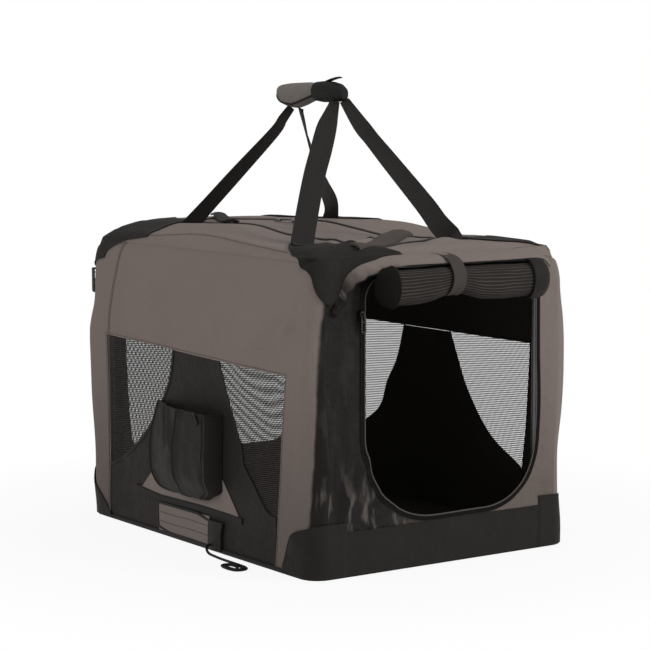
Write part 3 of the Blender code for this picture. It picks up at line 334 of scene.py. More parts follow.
def ease(value, low, high):
    """A smooth step from 0 at low to 1 at high."""
    share = max(0.0, min(1.0, (value - low) / (high - low)))
    return share * share * (3 - 2 * share)


def hump(value, middle, width):
    """A soft hill, 1 at its middle."""
    return math.exp(-square((value - middle) / width))


def fold(y, z, start, end, width):
    """A long crease from start to end, strongest in its middle."""
    along = Vector((end[0] - start[0], end[1] - start[1]))
    to = Vector((y - start[0], z - start[1]))
    share = to.dot(along) / along.length_squared
    if not -0.2 < share < 1.2:
        return 0.0
    apart = abs(to.x * along.y - to.y * along.x) / along.length
    return math.exp(-square(apart / width)) * ease(share, -0.2, 0.3) * (1 - ease(share, 0.7, 1.2))


# Creases of the side walls, the front wall and the roof: start, end, width and depth
SIDE_FOLDS = (((-0.15, 0.34), (-0.31, 0.46), 0.014, 0.0040),
              ((-0.19, 0.33), (-0.33, 0.40), 0.012, -0.0035),
              ((-0.24, 0.33), (-0.335, 0.49), 0.012, 0.0035),
              ((-0.30, 0.05), (-0.33, 0.36), 0.011, 0.0045),
              ((0.20, 0.35), (0.10, 0.50), 0.030, 0.0030),
              ((0.0, 0.37), (-0.12, 0.50), 0.028, -0.0030),
              ((0.24, 0.05), (0.25, 0.30), 0.015, -0.0020))
FRONT_FOLDS = (((-0.235, 0.12), (-0.200, 0.33), 0.013, 0.0090),
               ((-0.215, 0.20), (-0.185, 0.42), 0.011, -0.0080),
               ((-0.205, 0.09), (-0.150, 0.20), 0.010, 0.0070),
               ((-0.180, 0.08), (-0.120, 0.13), 0.009, -0.0060),
               ((-0.150, 0.075), (-0.100, 0.11), 0.008, 0.0050),
               ((0.215, 0.12), (0.225, 0.36), 0.020, 0.0030),
               ((0.225, 0.10), (0.150, 0.09), 0.012, -0.0030))
ROOF_FOLDS = (((0.06, -0.165), (-0.19, -0.325), 0.013, 0.0120),
              ((0.03, -0.20), (-0.16, -0.33), 0.012, -0.0050),
              ((-0.02, -0.10), (-0.23, -0.33), 0.012, 0.0035),
              ((0.10, -0.24), (0.00, -0.30), 0.016, 0.0050),
              ((-0.20, 0.20), (0.02, 0.30), 0.020, 0.0040),
              ((0.17, 0.05), (0.20, -0.20), 0.020, -0.0040),
              ((0.02, -0.262), (0.09, -0.275), 0.012, -0.0035))


def creased(a, b, folds, share=1):
    return sum(share * depth * fold(a, b, *line, width) for *line, width, depth in folds)


def roof_height(x, y):
    """How far the roof cloth lies above the height of the box: a ridge along the left, a rise at
    the rear left corner, a seat under the grip, and sagging to the right."""
    ridge = 0.013 * hump(y, -0.03, 0.14) * (1 - ease(x, -0.20, 0.05))
    rear = 0.014 * ease(y, -0.10, 0.10) * ease(x, -0.25, -0.18)
    seat = 0.012 * hump(x, 0.0, 0.06) * hump(y, 0.06, 0.09)
    return ridge + rear - seat - 0.006 - 0.007 * ease(x, 0.04, 0.22)


def drape(point):
    """Where a point of the square crate lies on the real one: round hoop corners, bulged and
    sagging cloth, and creases. The cloth stays flat where the clip and the sliders pass it."""
    x, y, z = point
    side_bend = 0.018 + (0.022 if x > 0 else 0.014) * ease(abs(y), 0.20, 0.33)
    corner = 0.050 if x > 0 and y < 0 else 0.042 if y > 0 else 0.014
    end_bend = 0.030 + corner * ease(abs(x), 0.12, 0.21)
    x, y = turn_edge(x, y, HALF_X, HALF_Y, PLAN_BEND)
    x, z = turn_edge(x, z, HALF_X, TOP, side_bend)
    y, z = turn_edge(y, z, HALF_Y, TOP, end_bend)
    upright = ease(z, 0.0, 0.06) * (1 - ease(z, 0.42, 0.49))
    on_side = ease(abs(x), 0.235, 0.256)
    on_end = ease(abs(y), 0.315, 0.342)
    on_top = ease(z, 0.500, 0.515)
    ripple = noise.noise(Vector((x * 9 + 3, y * 9, z * 9))) * 0.0035
    if y > 0:
        belly = 0.028 * hump(z, 0.30, 0.13 if z > 0.30 else 0.19) * (1 - ease(z, 0.36, 0.46))
        belly *= 1 - 0.70 * ease(x, -0.20, -0.06)
        clip_room = ease(z, 0.33, 0.41) * (1 - ease(x, -0.205, -0.17))
        room = max(clip_room, ease(z, 0.16, 0.21) * ease(x, 0.13, 0.165))
        y += on_end * (0.002 + belly + upright * (1 - ease(z, 0.36, 0.42)) * ripple) * (1 - room)
    else:
        creases = creased(x, z, FRONT_FOLDS)
        sag = 0.010 * hump(x, -0.218, 0.026) * hump(z, 0.25, 0.13) * (1 - ease(z, 0.36, 0.43))
        track = hump(x, -0.167, 0.034) ** 0.5 * ease(z, 0.18, 0.22)
        y -= on_end * (upright * (ripple + creases) - sag + 0.004 * hump(z, 0.25, 0.15)) * (1 - track)
    if x > 0:
        slack = 0.004 * hump(z, 0.33, 0.08) - 0.008 * hump(z, 0.11, 0.06)
        x += on_side * (upright * (slack + ripple) - 0.004 * ease(z, 0.38, 0.44))
    else:
        creases = creased(y, z, SIDE_FOLDS, 1.5)
        x -= on_side * upright * (0.003 * hump(z, 0.36, 0.10) + creases + ripple)
    inner = 1 - ease(max(abs(x) / HALF_X, abs(y) / HALF_Y), 0.84, 0.97)
    z += on_top * (roof_height(x, y) + inner * (creased(x, y, ROOF_FOLDS) + 1.5 * ripple))
    return Vector((x, y, z))


def tuck(z):
    """How far a wall's top edge goes in under the roof's edge."""
    return 0.0022 * ease(z, 0.484, 0.497)


def side_face(side):
    """Places on the left or right wall, wrapped round both upright corners: s runs to the rear."""
    def place(s, z, out):
        out -= tuck(z)
        reach = HALF_Y + out
        x, y = HALF_X + out, s
        if abs(s) > reach:
            x, y = HALF_X + out - (abs(s) - reach), math.copysign(reach, s)
        return Vector((side * x, y, z))
    return place


def end_face(end):
    """Places on the front or rear wall."""
    return lambda x, z, out: Vector((x, end * (HALF_Y + out - tuck(z)), z))


def top_face(x, y, out):
    """Places on the roof, turned down past its edges."""
    over = max(abs(x) - HALF_X - out, abs(y) - HALF_Y - out, 0)
    return Vector((max(-HALF_X - out, min(HALF_X + out, x)), max(-HALF_Y - out, min(HALF_Y + out, y)),
                   TOP + out - over))


def lay_out(data):
    """Gives a mesh rough cloth places, where it has none of its own."""
    if "cloth" in data.uv_layers:
        return
    layer = data.uv_layers.new(name="cloth")
    for loop in data.loops:
        point = data.vertices[loop.vertex_index].co
        layer.data[loop.index].uv = (point.x + point.y, point.z + point.y)


def link(name, mesh, finish):
    """An object from a bmesh. A finish may name two, for its outer and its inner face."""
    data = bpy.data.meshes.new(name)
    bmesh.ops.recalc_face_normals(mesh, faces=mesh.faces)
    mesh.to_mesh(data)
    mesh.free()
    for each in finish.split("+"):
        data.materials.append(FINISHES[each][1])
    data.shade_smooth()
    data.set_sharp_from_angle(angle=math.radians(50))
    lay_out(data)
    piece = bpy.data.objects.new(name, data)
    bpy.context.scene.collection.objects.link(piece)
    return piece


def mark_cloth(mesh, layer, flat):
    """Writes each vertex's place on the flat cloth."""
    for face in mesh.faces:
        for loop in face.loops:
            loop[layer].uv = flat[loop.vert]


def shell(name, marks, outer, inner, finish, left_out=None):
    """A thin piece from an outer and an inner grid of points, closed round its rims."""
    mesh = bmesh.new()
    layer = mesh.loops.layers.uv.new("cloth")
    grids = (outer, inner) if inner else (outer,)
    sides = [[[mesh.verts.new(point) for point in row] for row in grid] for grid in grids]
    flat = {}
    for side in sides:
        for row, row_marks in zip(side, marks):
            flat.update(zip(row, row_marks))
    edges = {}
    for i in range(len(outer) - 1):
        for j in range(len(outer[0]) - 1):
            if left_out and left_out(i, j):
                continue
            corners = ((i, j), (i, j + 1), (i + 1, j + 1), (i + 1, j))
            for index, side in enumerate(sides):
                face = mesh.faces.new([side[a][b] for a, b in corners])
                face.material_index = index if "+" in finish else 0
            for a, b in zip(corners, corners[1:] + corners[:1]):
                key = (min(a, b), max(a, b))
                edges[key] = edges.get(key, 0) + 1
    if inner:
        for (a, b), count in edges.items():
            if count == 1:
                mesh.faces.new([sides[0][a[0]][a[1]], sides[0][b[0]][b[1]],
                                sides[1][b[0]][b[1]], sides[1][a[0]][a[1]]])
    for vert in [each for each in mesh.verts if not each.link_faces]:
        mesh.verts.remove(vert)
    mark_cloth(mesh, layer, flat)
    return link(name, mesh, finish)


def sandwich(name, rows, finish):
    """A thin piece from rows of cells, each a flat place, an outer and an inner point."""
    return shell(name, *([[cell[part] for cell in row] for row in rows] for part in range(3)), finish)


def cloth_panel(name, rows, place, finish, out=0.0, thick=0.0015, open_at=None):
    """A cloth panel from rows of flat places, draped. Cells where open_at(u, v) holds stay open."""
    def laid(level):
        return [[drape(place(u, v, level)) for u, v in row] for row in rows]

    def left_out(i, j):
        cell = (rows[i][j], rows[i][j + 1], rows[i + 1][j + 1], rows[i + 1][j])
        return open_at(sum(p[0] for p in cell) / 4, sum(p[1] for p in cell) / 4)
    return shell(name, rows, laid(out), laid(out - thick) if thick else None, finish,
                 left_out if open_at else None)


def grid(rows, columns, cell):
    """Rows of flat places, and what lies at each of them: cell(i, j) gives both."""
    cells = [[cell(i, j) for j in range(columns)] for i in range(rows)]
    return [[flat for flat, _ in row] for row in cells], dict(pair for row in cells for pair in row)


def spread(low, high, count):
    return [low + (high - low) * step / count for step in range(count + 1)]


def between(first, second, count):
    """Rows of places from one edge line to another."""
    return [[(a[0] + (b[0] - a[0]) * (step / count), a[1] + (b[1] - a[1]) * (step / count))
             for a, b in zip(first, second)] for step in range(count + 1)]


def even_line(points, count):
    """A line resampled to a steady spacing."""
    route = [Vector(point) for point in points]
    lengths = [(b - a).length for a, b in zip(route, route[1:])]
    total = sum(lengths)
    result = []
    for step in range(count + 1):
        left = total * step / count
        for a, b, length in zip(route, route[1:], lengths):
            if left <= length + 1e-9:
                result.append(a.lerp(b, left / length if length else 0))
                break
            left -= length
        else:
            result.append(route[-1])
    return result


def curve_through(points, parts=8):
    """A smooth line through a few points."""
    route = [Vector(point) for point in points]
    route = [2 * route[0] - route[1]] + route + [2 * route[-1] - route[-2]]
    line = []
    for a, b, c, d in zip(route, route[1:], route[2:], route[3:]):
        for part in range(parts):
            t = part / parts
            line.append(0.5 * (2 * b + (c - a) * t + (2 * a - 5 * b + 4 * c - d) * t * t
                               + (3 * b - a - 3 * c + d) * t * t * t))
    return line + [route[-2]]


def closed(line):
    return list(line) + [line[0]]


def rounded(left, right, low, high, low_bend, high_bend, left_bend, steps):
    """An outline with round corners; left_bend is for the lower left one."""
    line = []
    for x, z, bend, start in ((right, low, low_bend, -90), (right, high, high_bend, 0),
                              (left, high, high_bend, 90), (left, low, left_bend, 180)):
        x += bend if x == left else -bend
        z += bend if z == low else -bend
        for step in range(steps + 1):
            angle = math.radians(start + 90 * step / steps)
            line.append((x + bend * math.cos(angle), z + bend * math.sin(angle)))
    return line


def strip(name, line, place, finish, width=0.009, out=0.001, thick=0.0012, loop=False, crown=0.0006):
    """A narrow tape sewn along a line of flat places, with a slight crown across it."""
    path = even_line(closed(line) if loop else line, max(8, len(line) * 2))
    rows = []
    lifts = {}
    for index, point in enumerate(path):
        before = path[index - 1] if index else path[-2 if loop else 0]
        after = path[index + 1] if index < len(path) - 1 else path[1 if loop else -1]
        way = (after - before).normalized()
        aside = Vector((way.y, -way.x)) * (width / 2)
        row = [point + aside * share for share in ACROSS]
        rows.append([(spot.x, spot.y) for spot in row])
        for share, spot in zip(ACROSS, row):
            lifts[(round(spot.x, 7), round(spot.y, 7))] = crown * (1 - share * share)

    def lifted(u, v, level):
        return place(u, v, level + lifts[(round(u, 7), round(v, 7))])
    return cloth_panel(name, rows, lifted, finish, out, thick)


def loft(name, rings, finish, marks=None):
    """A closed form through rings of points. marks gives their places on the flat cloth."""
    mesh = bmesh.new()
    layer = mesh.loops.layers.uv.new("cloth") if marks else None
    loops = [[mesh.verts.new(point) for point in each] for each in rings]
    for first, second in zip(loops, loops[1:]):
        for step in range(len(first)):
            after = (step + 1) % len(first)
            mesh.faces.new([first[step], first[after], second[after], second[step]])
    mesh.faces.new(loops[0])
    mesh.faces.new(loops[-1])
    if marks:
        mark_cloth(mesh, layer, {vert: mark for pair in zip(loops, marks) for vert, mark in zip(*pair)})
    return link(name, mesh, finish)


def way_along(path, index):
    """The direction of a path at one of its points."""
    return (path[min(index + 1, len(path) - 1)] - path[max(index - 1, 0)]).normalized()


def cord_tube(name, points, radius, finish, sides):
    """A round cord along a line of points."""
    path = [Vector(point) for point in points]
    rings, marks = [], []
    side = Vector((0, 0, 1))
    walked = 0.0
    for index, point in enumerate(path):
        way = way_along(path, index)
        turned = side - way * side.dot(way)
        side = turned.normalized() if abs(side.dot(way)) < 0.98 else way.orthogonal()
        other = way.cross(side)
        walked += (point - path[index - 1]).length if index else 0
        angles = [2 * math.pi * step / sides for step in range(sides)]
        rings.append([point + side * radius * math.cos(angle) + other * radius * math.sin(angle)
                      for angle in angles])
        marks.append([(step / sides * 2 * math.pi * radius, walked) for step in range(sides)])
    return loft(name, rings, finish, marks)


def piped(name, points, radius, finish="binding"):
    """Thin piping along points of the square crate, draped."""
    return cord_tube(name, [drape(point) for point in points], radius, finish, 6)


def stitches(name, line, place, out, length=0.0032, pitch=0.0046):
    """A row of single stitches along a line of flat places."""
    half = 0.0005
    total = sum((Vector(b) - Vector(a)).length for a, b in zip(line, line[1:]))
    spots = even_line(line, max(2, int(total / pitch * 2)))
    mesh = bmesh.new()

    def raised(points, level):
        return [mesh.verts.new(drape(place(point.x, point.y, level))) for point in points]
    for start, end in zip(spots[::2], spots[1::2]):
        way = (end - start).normalized()
        end = start + way * length
        aside = Vector((way.y, -way.x)) * half
        low = raised((start - aside, end - aside, end + aside, start + aside), out)
        middle = (start + end) / 2
        high = raised((middle - way * length * 0.3, middle + way * length * 0.3), out + half * 1.4)
        for corners in ((low[0], low[1], high[1], high[0]), (low[2], low[3], high[0], high[1]),
                        (low[1], low[2], high[1]), (low[3], low[0], high[0])):
            mesh.faces.new(corners)
    return link(name, mesh, "thread")


def ring(centre, across, half, tall, count=28, power=2.0):
    """A closed upright oval of points, squarer with a higher power."""
    centre, across, up = Vector(centre), Vector(across), Vector((0, 0, 1))
    points = []
    for step in range(count):
        angle = 2 * math.pi * step / count
        c, s = math.cos(angle), math.sin(angle)
        square_off = (abs(c) ** power + abs(s) ** power) ** (1 / power)
        points.append(centre + across * (half * c / square_off) + up * (tall * s / square_off))
    return points


def ribbon(name, points, halves, thick, wide):
    """Black webbing along a path; wide gives the direction of its width at each point."""
    path = [Vector(point) for point in points]
    rows = []
    walked = 0.0
    for index, point in enumerate(path):
        way = way_along(path, index)
        across = Vector(wide[index])
        across = (across - way * across.dot(way)).normalized()
        deep = way.cross(across)
        walked += (point - path[index - 1]).length if index else 0
        row = []
        for share in (-1, -0.9, -0.5, 0, 0.5, 0.9, 1):
            crown = 0.0012 * (1 - share * share)
            faces = [point + across * halves[index] * share + deep * (level + crown)
                     for level in (thick / 2, -thick / 2)]
            row.append(((halves[index] * share, walked), *faces))
        rows.append(row)
    return sandwich(name, rows, "webbing")


def cast_block(name, half, spot, turn):
    """A small cast steel piece with round edges, turned on the roof."""
    mesh = bmesh.new()
    bmesh.ops.create_cube(mesh, size=2.0)
    for vert in mesh.verts:
        taper = 1 - 0.18 * (vert.co.y > 0)
        vert.co = Vector((vert.co.x * half[0] * taper, vert.co.y * half[1], vert.co.z * half[2]))
    bmesh.ops.bevel(mesh, geom=mesh.edges[:], offset=min(half) * 0.6, segments=3, profile=0.5,
                    affect="EDGES")
    c, s = math.cos(turn), math.sin(turn)
    for vert in mesh.verts:
        x, y, z = vert.co
        vert.co = Vector((x * c - y * s, x * s + y * c, z)) + spot
    return link(name, mesh, "steel")


def plump(piece, pressure, most, voxel):
    """Fills a padded piece: an even skin, inflated a little, with the move held to a limit."""
    scene = bpy.context.scene
    even = piece.modifiers.new("even skin", "REMESH")
    even.mode = "VOXEL"
    even.voxel_size = voxel
    skin = bpy.data.meshes.new_from_object(piece.evaluated_get(bpy.context.evaluated_depsgraph_get()))
    piece.modifiers.clear()
    piece.data = skin
    start = [vert.co.copy() for vert in skin.vertices]
    filling = piece.modifiers.new("filling", "CLOTH")
    filling.settings.use_pressure = True
    filling.settings.uniform_pressure_force = pressure
    filling.settings.effector_weights.gravity = 0
    for step in range(1, 21):
        scene.frame_set(step)
    full = bpy.data.meshes.new_from_object(piece.evaluated_get(bpy.context.evaluated_depsgraph_get()))
    piece.modifiers.clear()
    scene.frame_set(1)
    for vert, before in zip(full.vertices, start):
        move = vert.co - before
        if move.length > most:
            vert.co = before + move * (most / move.length)
    piece.data = full
    lay_out(full)
    full.shade_smooth()
    return piece


def sewn(piece, *nodes):
    """A piece of the walls: it stays on the root body."""
    if nodes:
        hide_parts(*nodes)
    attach(piece, "root")
    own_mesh(piece)


def on_roof(piece, *nodes):
    """A soft piece on the roof; it goes on the roof body."""
    if nodes:
        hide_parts(*nodes)
    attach(piece, "roof")
    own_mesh(piece)


# The tie cord, its hank and its knot come first
CORD = 0.0022
CORD_EXIT = (-0.2666, -0.0640, 0.0120)
CORD_ROUTE = (CORD_EXIT, (-0.2740, -0.0650, 0.0115), (-0.2790, -0.0700, 0.0070),
              (-0.2820, -0.0790, 0.0035), (-0.2840, -0.0900, 0.0022), (-0.2855, -0.1030, 0.0022),
              (-0.2870, -0.1160, 0.0022), (-0.2880, -0.1290, 0.0022), (-0.2885, -0.1420, 0.0022),
              (-0.2885, -0.1550, 0.0022), (-0.2885, -0.1680, 0.0022), (-0.2885, -0.1810, 0.0022))


def hank_points(start):
    """Two flat loops that wind inward on the floor."""
    steps = 24
    centre = Vector((start[0] - 0.016, start[1] - 0.011, start[2]))
    points = []
    for step in range(2 * steps + 1):
        turn = step / steps
        half = 0.016 - 0.0049 * turn
        bow = math.sin(-2 * math.pi * turn)
        run = 0.011 * max(-1, min(1, 1.6 * bow))
        points.append(centre + Vector((half * math.cos(2 * math.pi * turn), run + half * bow, 0)))
    return points


def route_length(points):
    return sum((b - a).length for a, b in zip(points, points[1:]))


def make_tie_cord():
    lead = even_line(curve_through(CORD_ROUTE), 34)
    wound = hank_points(lead[-1] + Vector((0, -0.0003, 0)))
    path = lead + wound[1:]
    cord = cord_tube("tie_cord", path, CORD, "cord", 10)
    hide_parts("cord", "cord_hank")
    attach(cord, "root")
    knot_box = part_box("cord_knot")
    centre = (knot_box[0] + knot_box[1]) / 2
    mesh = bmesh.new()
    bmesh.ops.create_icosphere(mesh, subdivisions=3, radius=0.0040)
    for vert in mesh.verts:
        angle = math.atan2(vert.co.y, vert.co.x)
        vert.co *= 1 - 0.14 * square(math.sin(2 * angle + vert.co.z * 500))
        vert.co += centre
    knot = link("end_knot", mesh, "cord")
    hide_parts("cord_knot")
    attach(knot, "root")
    round(route_length(path), 3)
    [tuple(p) for p in path]


make_tie_cord()


# Side walls with their windows, flares and nets. A window's top line and its front edge slope, and
# the two curves are the flare's edges; each place holds its distance to the rear and its height
SIDES = {
    "left": {"side": -1, "window": ((-0.2765, 0.3151), (0.285, 0.3302)), "front": (-0.245, -0.2765),
             "rear_edge": ((0.285, 0.096), (0.208, 0.132), (0.142, 0.185), (0.080, 0.261), (0.057, 0.3246)),
             "front_edge": ((-0.249, 0.083), (-0.219, 0.091), (-0.181, 0.129), (-0.154, 0.157),
                            (-0.146, 0.187), (-0.116, 0.243), (-0.098, 0.290), (-0.086, 0.3197))},
    "right": {"side": 1, "window": ((-0.2765, 0.3290), (0.285, 0.3300)), "front": (-0.2455, -0.2460),
              "rear_edge": ((0.285, 0.100), (0.236, 0.126), (0.173, 0.167), (0.152, 0.219),
                            (0.126, 0.264), (0.109, 0.3292)),
              "front_edge": ((-0.2455, 0.100), (-0.237, 0.114), (-0.166, 0.148), (-0.113, 0.189),
                             (-0.070, 0.238), (-0.046, 0.280), (-0.023, 0.3288))}}
WINDOW_REAR = 0.285
# The height where the window's front edge ends, how far a side wall wraps round the corners, and
# the distance of the stitches from the window
WINDOW_HIGH, WRAP, STITCH_GAP = 0.315, 0.38, 0.0035
REAR_SEAM = ((0.286, 0.004), (0.281, 0.170), (0.276, 0.328), (0.267, 0.391), (0.252, 0.445),
             (0.234, 0.482), (0.212, 0.5015))


class Side:
    """One side wall's outlines, in flat places."""

    def __init__(self, name):
        shape = SIDES[name]
        self.name = name
        self.top_line = shape["window"]
        self.front_line = shape["front"]
        self.rear_edge = curve_through(shape["rear_edge"])
        self.front_edge = curve_through(shape["front_edge"])
        self.face = side_face(shape["side"])
        # The left wall's cloth carries painted shade and painted highlights at its front corner, and
        # painted shade towards its foot.
        self.cloth = "side_grey" if name == "left" else "grey"

    def top(self, s):
        """The window's height at one place along the wall."""
        (s0, z0), (s1, z1) = self.top_line
        return z0 + (z1 - z0) * (s - s0) / (s1 - s0)

    def front(self, z):
        """The window's front edge at one height."""
        low, high = self.front_line
        return low + (high - low) * min(1, z / WINDOW_HIGH)

    def columns(self, z):
        """Places along the wall at one height, with one at each edge of the window."""
        stops = (WRAP, HALF_Y, WINDOW_REAR, self.front(z), -HALF_Y, -WRAP)
        parts = [spread(*ends, count) for *ends, count in zip(stops, stops[1:], (4, 10, 60, 14, 4))]
        return [s for part in parts[:-1] for s in part[:-1]] + parts[-1]

    def make_wall(self):
        rows = [[(s, FOOT + (self.top(s) - FOOT) * step / 36)
                 for s in self.columns(WINDOW_HIGH * step / 36)] for step in range(36)]
        rows += [[(s, self.top(s) + (RIM - self.top(s)) * step / 26) for s in self.columns(WINDOW_HIGH)]
                 for step in range(27)]
        wall = cloth_panel(self.name + "_wall_cloth", rows, self.face, self.cloth + "+lining",
                           open_at=lambda s, z: self.front(z) < s < WINDOW_REAR and z < self.top(s))
        sewn(wall, self.name + "_wall")

    def make_flare(self):
        sides = []
        for end, edge, foot in (("rear", self.rear_edge, WINDOW_REAR),
                                ("front", self.front_edge, self.front(FOOT))):
            sides.append(even_line([(foot, FOOT)] + edge, 46))
            sewn(strip(f"{self.name}_flare_{end}_binding", edge, self.face, "binding", 0.006, 0.0004,
                       0.0009))
        flare = cloth_panel(self.name + "_flare_cloth", between(*sides, 30), self.face, "black+lining",
                            -0.0004)
        sewn(flare, self.name + "_flare")

    def make_net(self, end, edge, window_side, window_corner, margin):
        """The net between the flare and one side of the window, with a margin behind the wall."""
        edge = even_line(edge, 26)
        near_top = edge[-1][0]
        corner = even_line([(window_side + margin, edge[0][1]),
                            (window_corner + margin, self.top(window_corner) + 0.004),
                            (near_top, self.top(near_top) + 0.004)], 26)
        net = cloth_panel(f"{self.name}_{end}_net", between(edge, corner, 16), self.face, "net",
                          -0.0022, 0)
        sewn(net, f"{self.name}_mesh_{end}")

    def make_seams(self):
        rear = curve_through(REAR_SEAM)
        seam = [self.face(p.x, p.y, 0.0002) for p in rear]
        sewn(piped(self.name + "_rear_seam", seam, 0.0011, "piping"))
        beside = [p + Vector((0.0042, 0)) for p in rear]
        sewn(stitches(self.name + "_rear_stitches", beside, self.face, 0.0001))
        rear_side, corner = WINDOW_REAR + STITCH_GAP, self.front(WINDOW_HIGH)
        line = [(rear_side, 0.004), (rear_side, self.top(WINDOW_REAR) + STITCH_GAP),
                (corner - STITCH_GAP, self.top(corner) + STITCH_GAP), (self.front(0.0) - STITCH_GAP, 0.004)]
        sewn(stitches(self.name + "_window_stitches", line, self.face, 0.0001))


def make_side(name):
    side = Side(name)
    side.make_wall()
    side.make_flare()
    side.make_net("rear", side.rear_edge, WINDOW_REAR, WINDOW_REAR, 0.004)
    side.make_net("front", side.front_edge, side.front(0.083), side.front(WINDOW_HIGH), -0.004)
    side.make_seams()


make_side("left")
make_side("right")


# Doors in the end walls: left, right, low, high, and the bends of the lower right, the upper and
# the lower left corners
DOOR = (-0.163, 0.189, 0.0785, 0.474, 0.108, 0.040, 0.135)
REAR_DOOR = (-0.175, 0.175, 0.089, 0.474, 0.045, 0.040, 0.045)


def door_line(shape, grow):
    """A door's outline, moved outward."""
    left, right, low, high, *bends = shape
    bends = [bend + grow for bend in bends]
    return rounded(left - grow, right + grow, low - grow, high + grow, *bends, 14)


def wall_frame(shape):
    """Rows from the door's edge out to the wall's four edges."""
    left, right, low, high = shape[:4]
    middle = ((left + right) / 2, (low + high) / 2)
    inner = even_line(closed(door_line(shape, 0)), 132)
    outer = []
    for point in inner:
        dx, dz = point.x - middle[0], point.y - middle[1]
        reaches = []
        if abs(dx) > 1e-9:
            reaches.append((math.copysign(END_REACH, dx) - middle[0]) / dx)
        if abs(dz) > 1e-9:
            reaches.append(((RIM if dz > 0 else FOOT) - middle[1]) / dz)
        grow = min(reaches)
        outer.append((middle[0] + dx * grow, middle[1] + dz * grow))
    for corner in ((-END_REACH, FOOT), (END_REACH, FOOT), (END_REACH, RIM), (-END_REACH, RIM)):
        nearest = min(range(len(outer) - 1), key=lambda k: math.dist(outer[k], corner))
        outer[nearest] = corner
    outer[-1] = outer[0]
    return between(inner, outer, 14)


def make_end_wall(name, end, shape, cloth):
    face = end_face(end)
    wall = cloth_panel(name + "_wall_cloth", wall_frame(shape), face, cloth + "+lining")
    sewn(wall, name + "_wall")
    tape = strip(name + "_zip_cloth", door_line(shape, 0.0012), face, "deep", 0.0090, 0.0010, loop=True)
    sewn(tape, name + "_zip_tape")
    sewn(strip(name + "_zip_coil", door_line(shape, -0.0028), face, "coil", 0.0022, 0.0016,
               loop=True, crown=0.0005))
    sewn(stitches(name + "_zip_stitches", closed(door_line(shape, 0.0052)), face, 0.0015))
    rows = between(*([(x, z) for x in spread(-END_REACH, END_REACH, 46)] for z in (FOOT, 0.0727)), 8)
    band = cloth_panel(name + "_base_band", rows, face, "black", 0.0015, 0.0012)
    sewn(band, name + "_band")
    sewn(stitches(name + "_band_stitches", [(-0.215, 0.0692), (0.215, 0.0692)], face, 0.0016))


# The front wall's cloth carries painted shade and painted highlights over its left part, and painted shade
# towards its foot.
make_end_wall("front", -1, DOOR, "front_grey")
make_end_wall("rear", 1, REAR_DOOR, "grey")


def make_rear_net():
    line = even_line(closed(door_line(REAR_DOOR, 0.006)), 96)
    rows = between(line, [(0.0, 0.29)] * len(line), 12)
    net = cloth_panel("rear_door_net", rows, end_face(1), "door_net", -0.0022, 0)
    sewn(net, "rear_mesh_door")


make_rear_net()


# Upper edges of the lower corner caps, from the side wall round the corner to the end wall
CAP_EDGE = ((0.2655, 0.003), (0.276, 0.029), (0.290, 0.057), (0.310, 0.074), (0.346, 0.085),
            (0.360, 0.087), (0.417, 0.0885))
REAR_CAP_EDGE = ((0.276, 0.003), (0.290, 0.020), (0.314, 0.041), (0.336, 0.057), (0.350, 0.070),
                 (0.362, 0.082), (0.417, 0.0885))


def make_cap(name, side, end, cap_edge):
    face = side_face(side)
    edge = even_line(curve_through(cap_edge), 36)
    rows = between([(end * p.x, FOOT) for p in edge], [(end * p.x, p.y) for p in edge], 10)
    cap = cloth_panel(name + "_corner_cap", rows, face, "black", 0.0028, 0.0012)
    sewn(cap, name + "_cap")
    line = [(end * (p.x + 0.001), p.y - 0.0035) for p in edge[3:]]
    sewn(stitches(name + "_cap_stitches", line, face, 0.0029))


for side_name, side_sign in (("left", -1), ("right", 1)):
    make_cap(side_name + "_front", side_sign, -1, CAP_EDGE)
    make_cap(side_name + "_rear", side_sign, 1, REAR_CAP_EDGE)


# Upper corner patches: each lower edge from the side round the corner to the end, and the tip
FRONT_PATCH = ((0.285, 0.517), (0.305, 0.508), (0.326, 0.494), (0.345, 0.476), (0.356, 0.455),
               (0.372, 0.436), (0.386, 0.432), (0.399, 0.444), (0.409, 0.468), (0.424, 0.484),
               (0.441, 0.492), (0.470, 0.498), (0.524, 0.503))
REAR_PATCH = ((0.150, 0.517), (0.212, 0.502), (0.250, 0.493), (0.290, 0.477), (0.320, 0.462),
              (0.350, 0.449), (0.375, 0.443), (0.400, 0.448), (0.430, 0.464), (0.460, 0.484),
              (0.490, 0.500), (0.520, 0.512))
FAR_PATCH = ((0.195, 0.518), (0.230, 0.507), (0.262, 0.489), (0.285, 0.472), (0.300, 0.463),
             (0.312, 0.468), (0.321, 0.484), (0.328, 0.500), (0.334, 0.512), (0.338, 0.518))


def swell(point, out):
    """Moves a point of the box outward."""
    x, y, z = point
    return Vector((x + math.copysign(out, x) * ease(abs(x), 0.235, 0.26),
                   y + math.copysign(out, y) * ease(abs(y), 0.325, 0.35),
                   z + out * ease(z, 0.495, 0.52)))


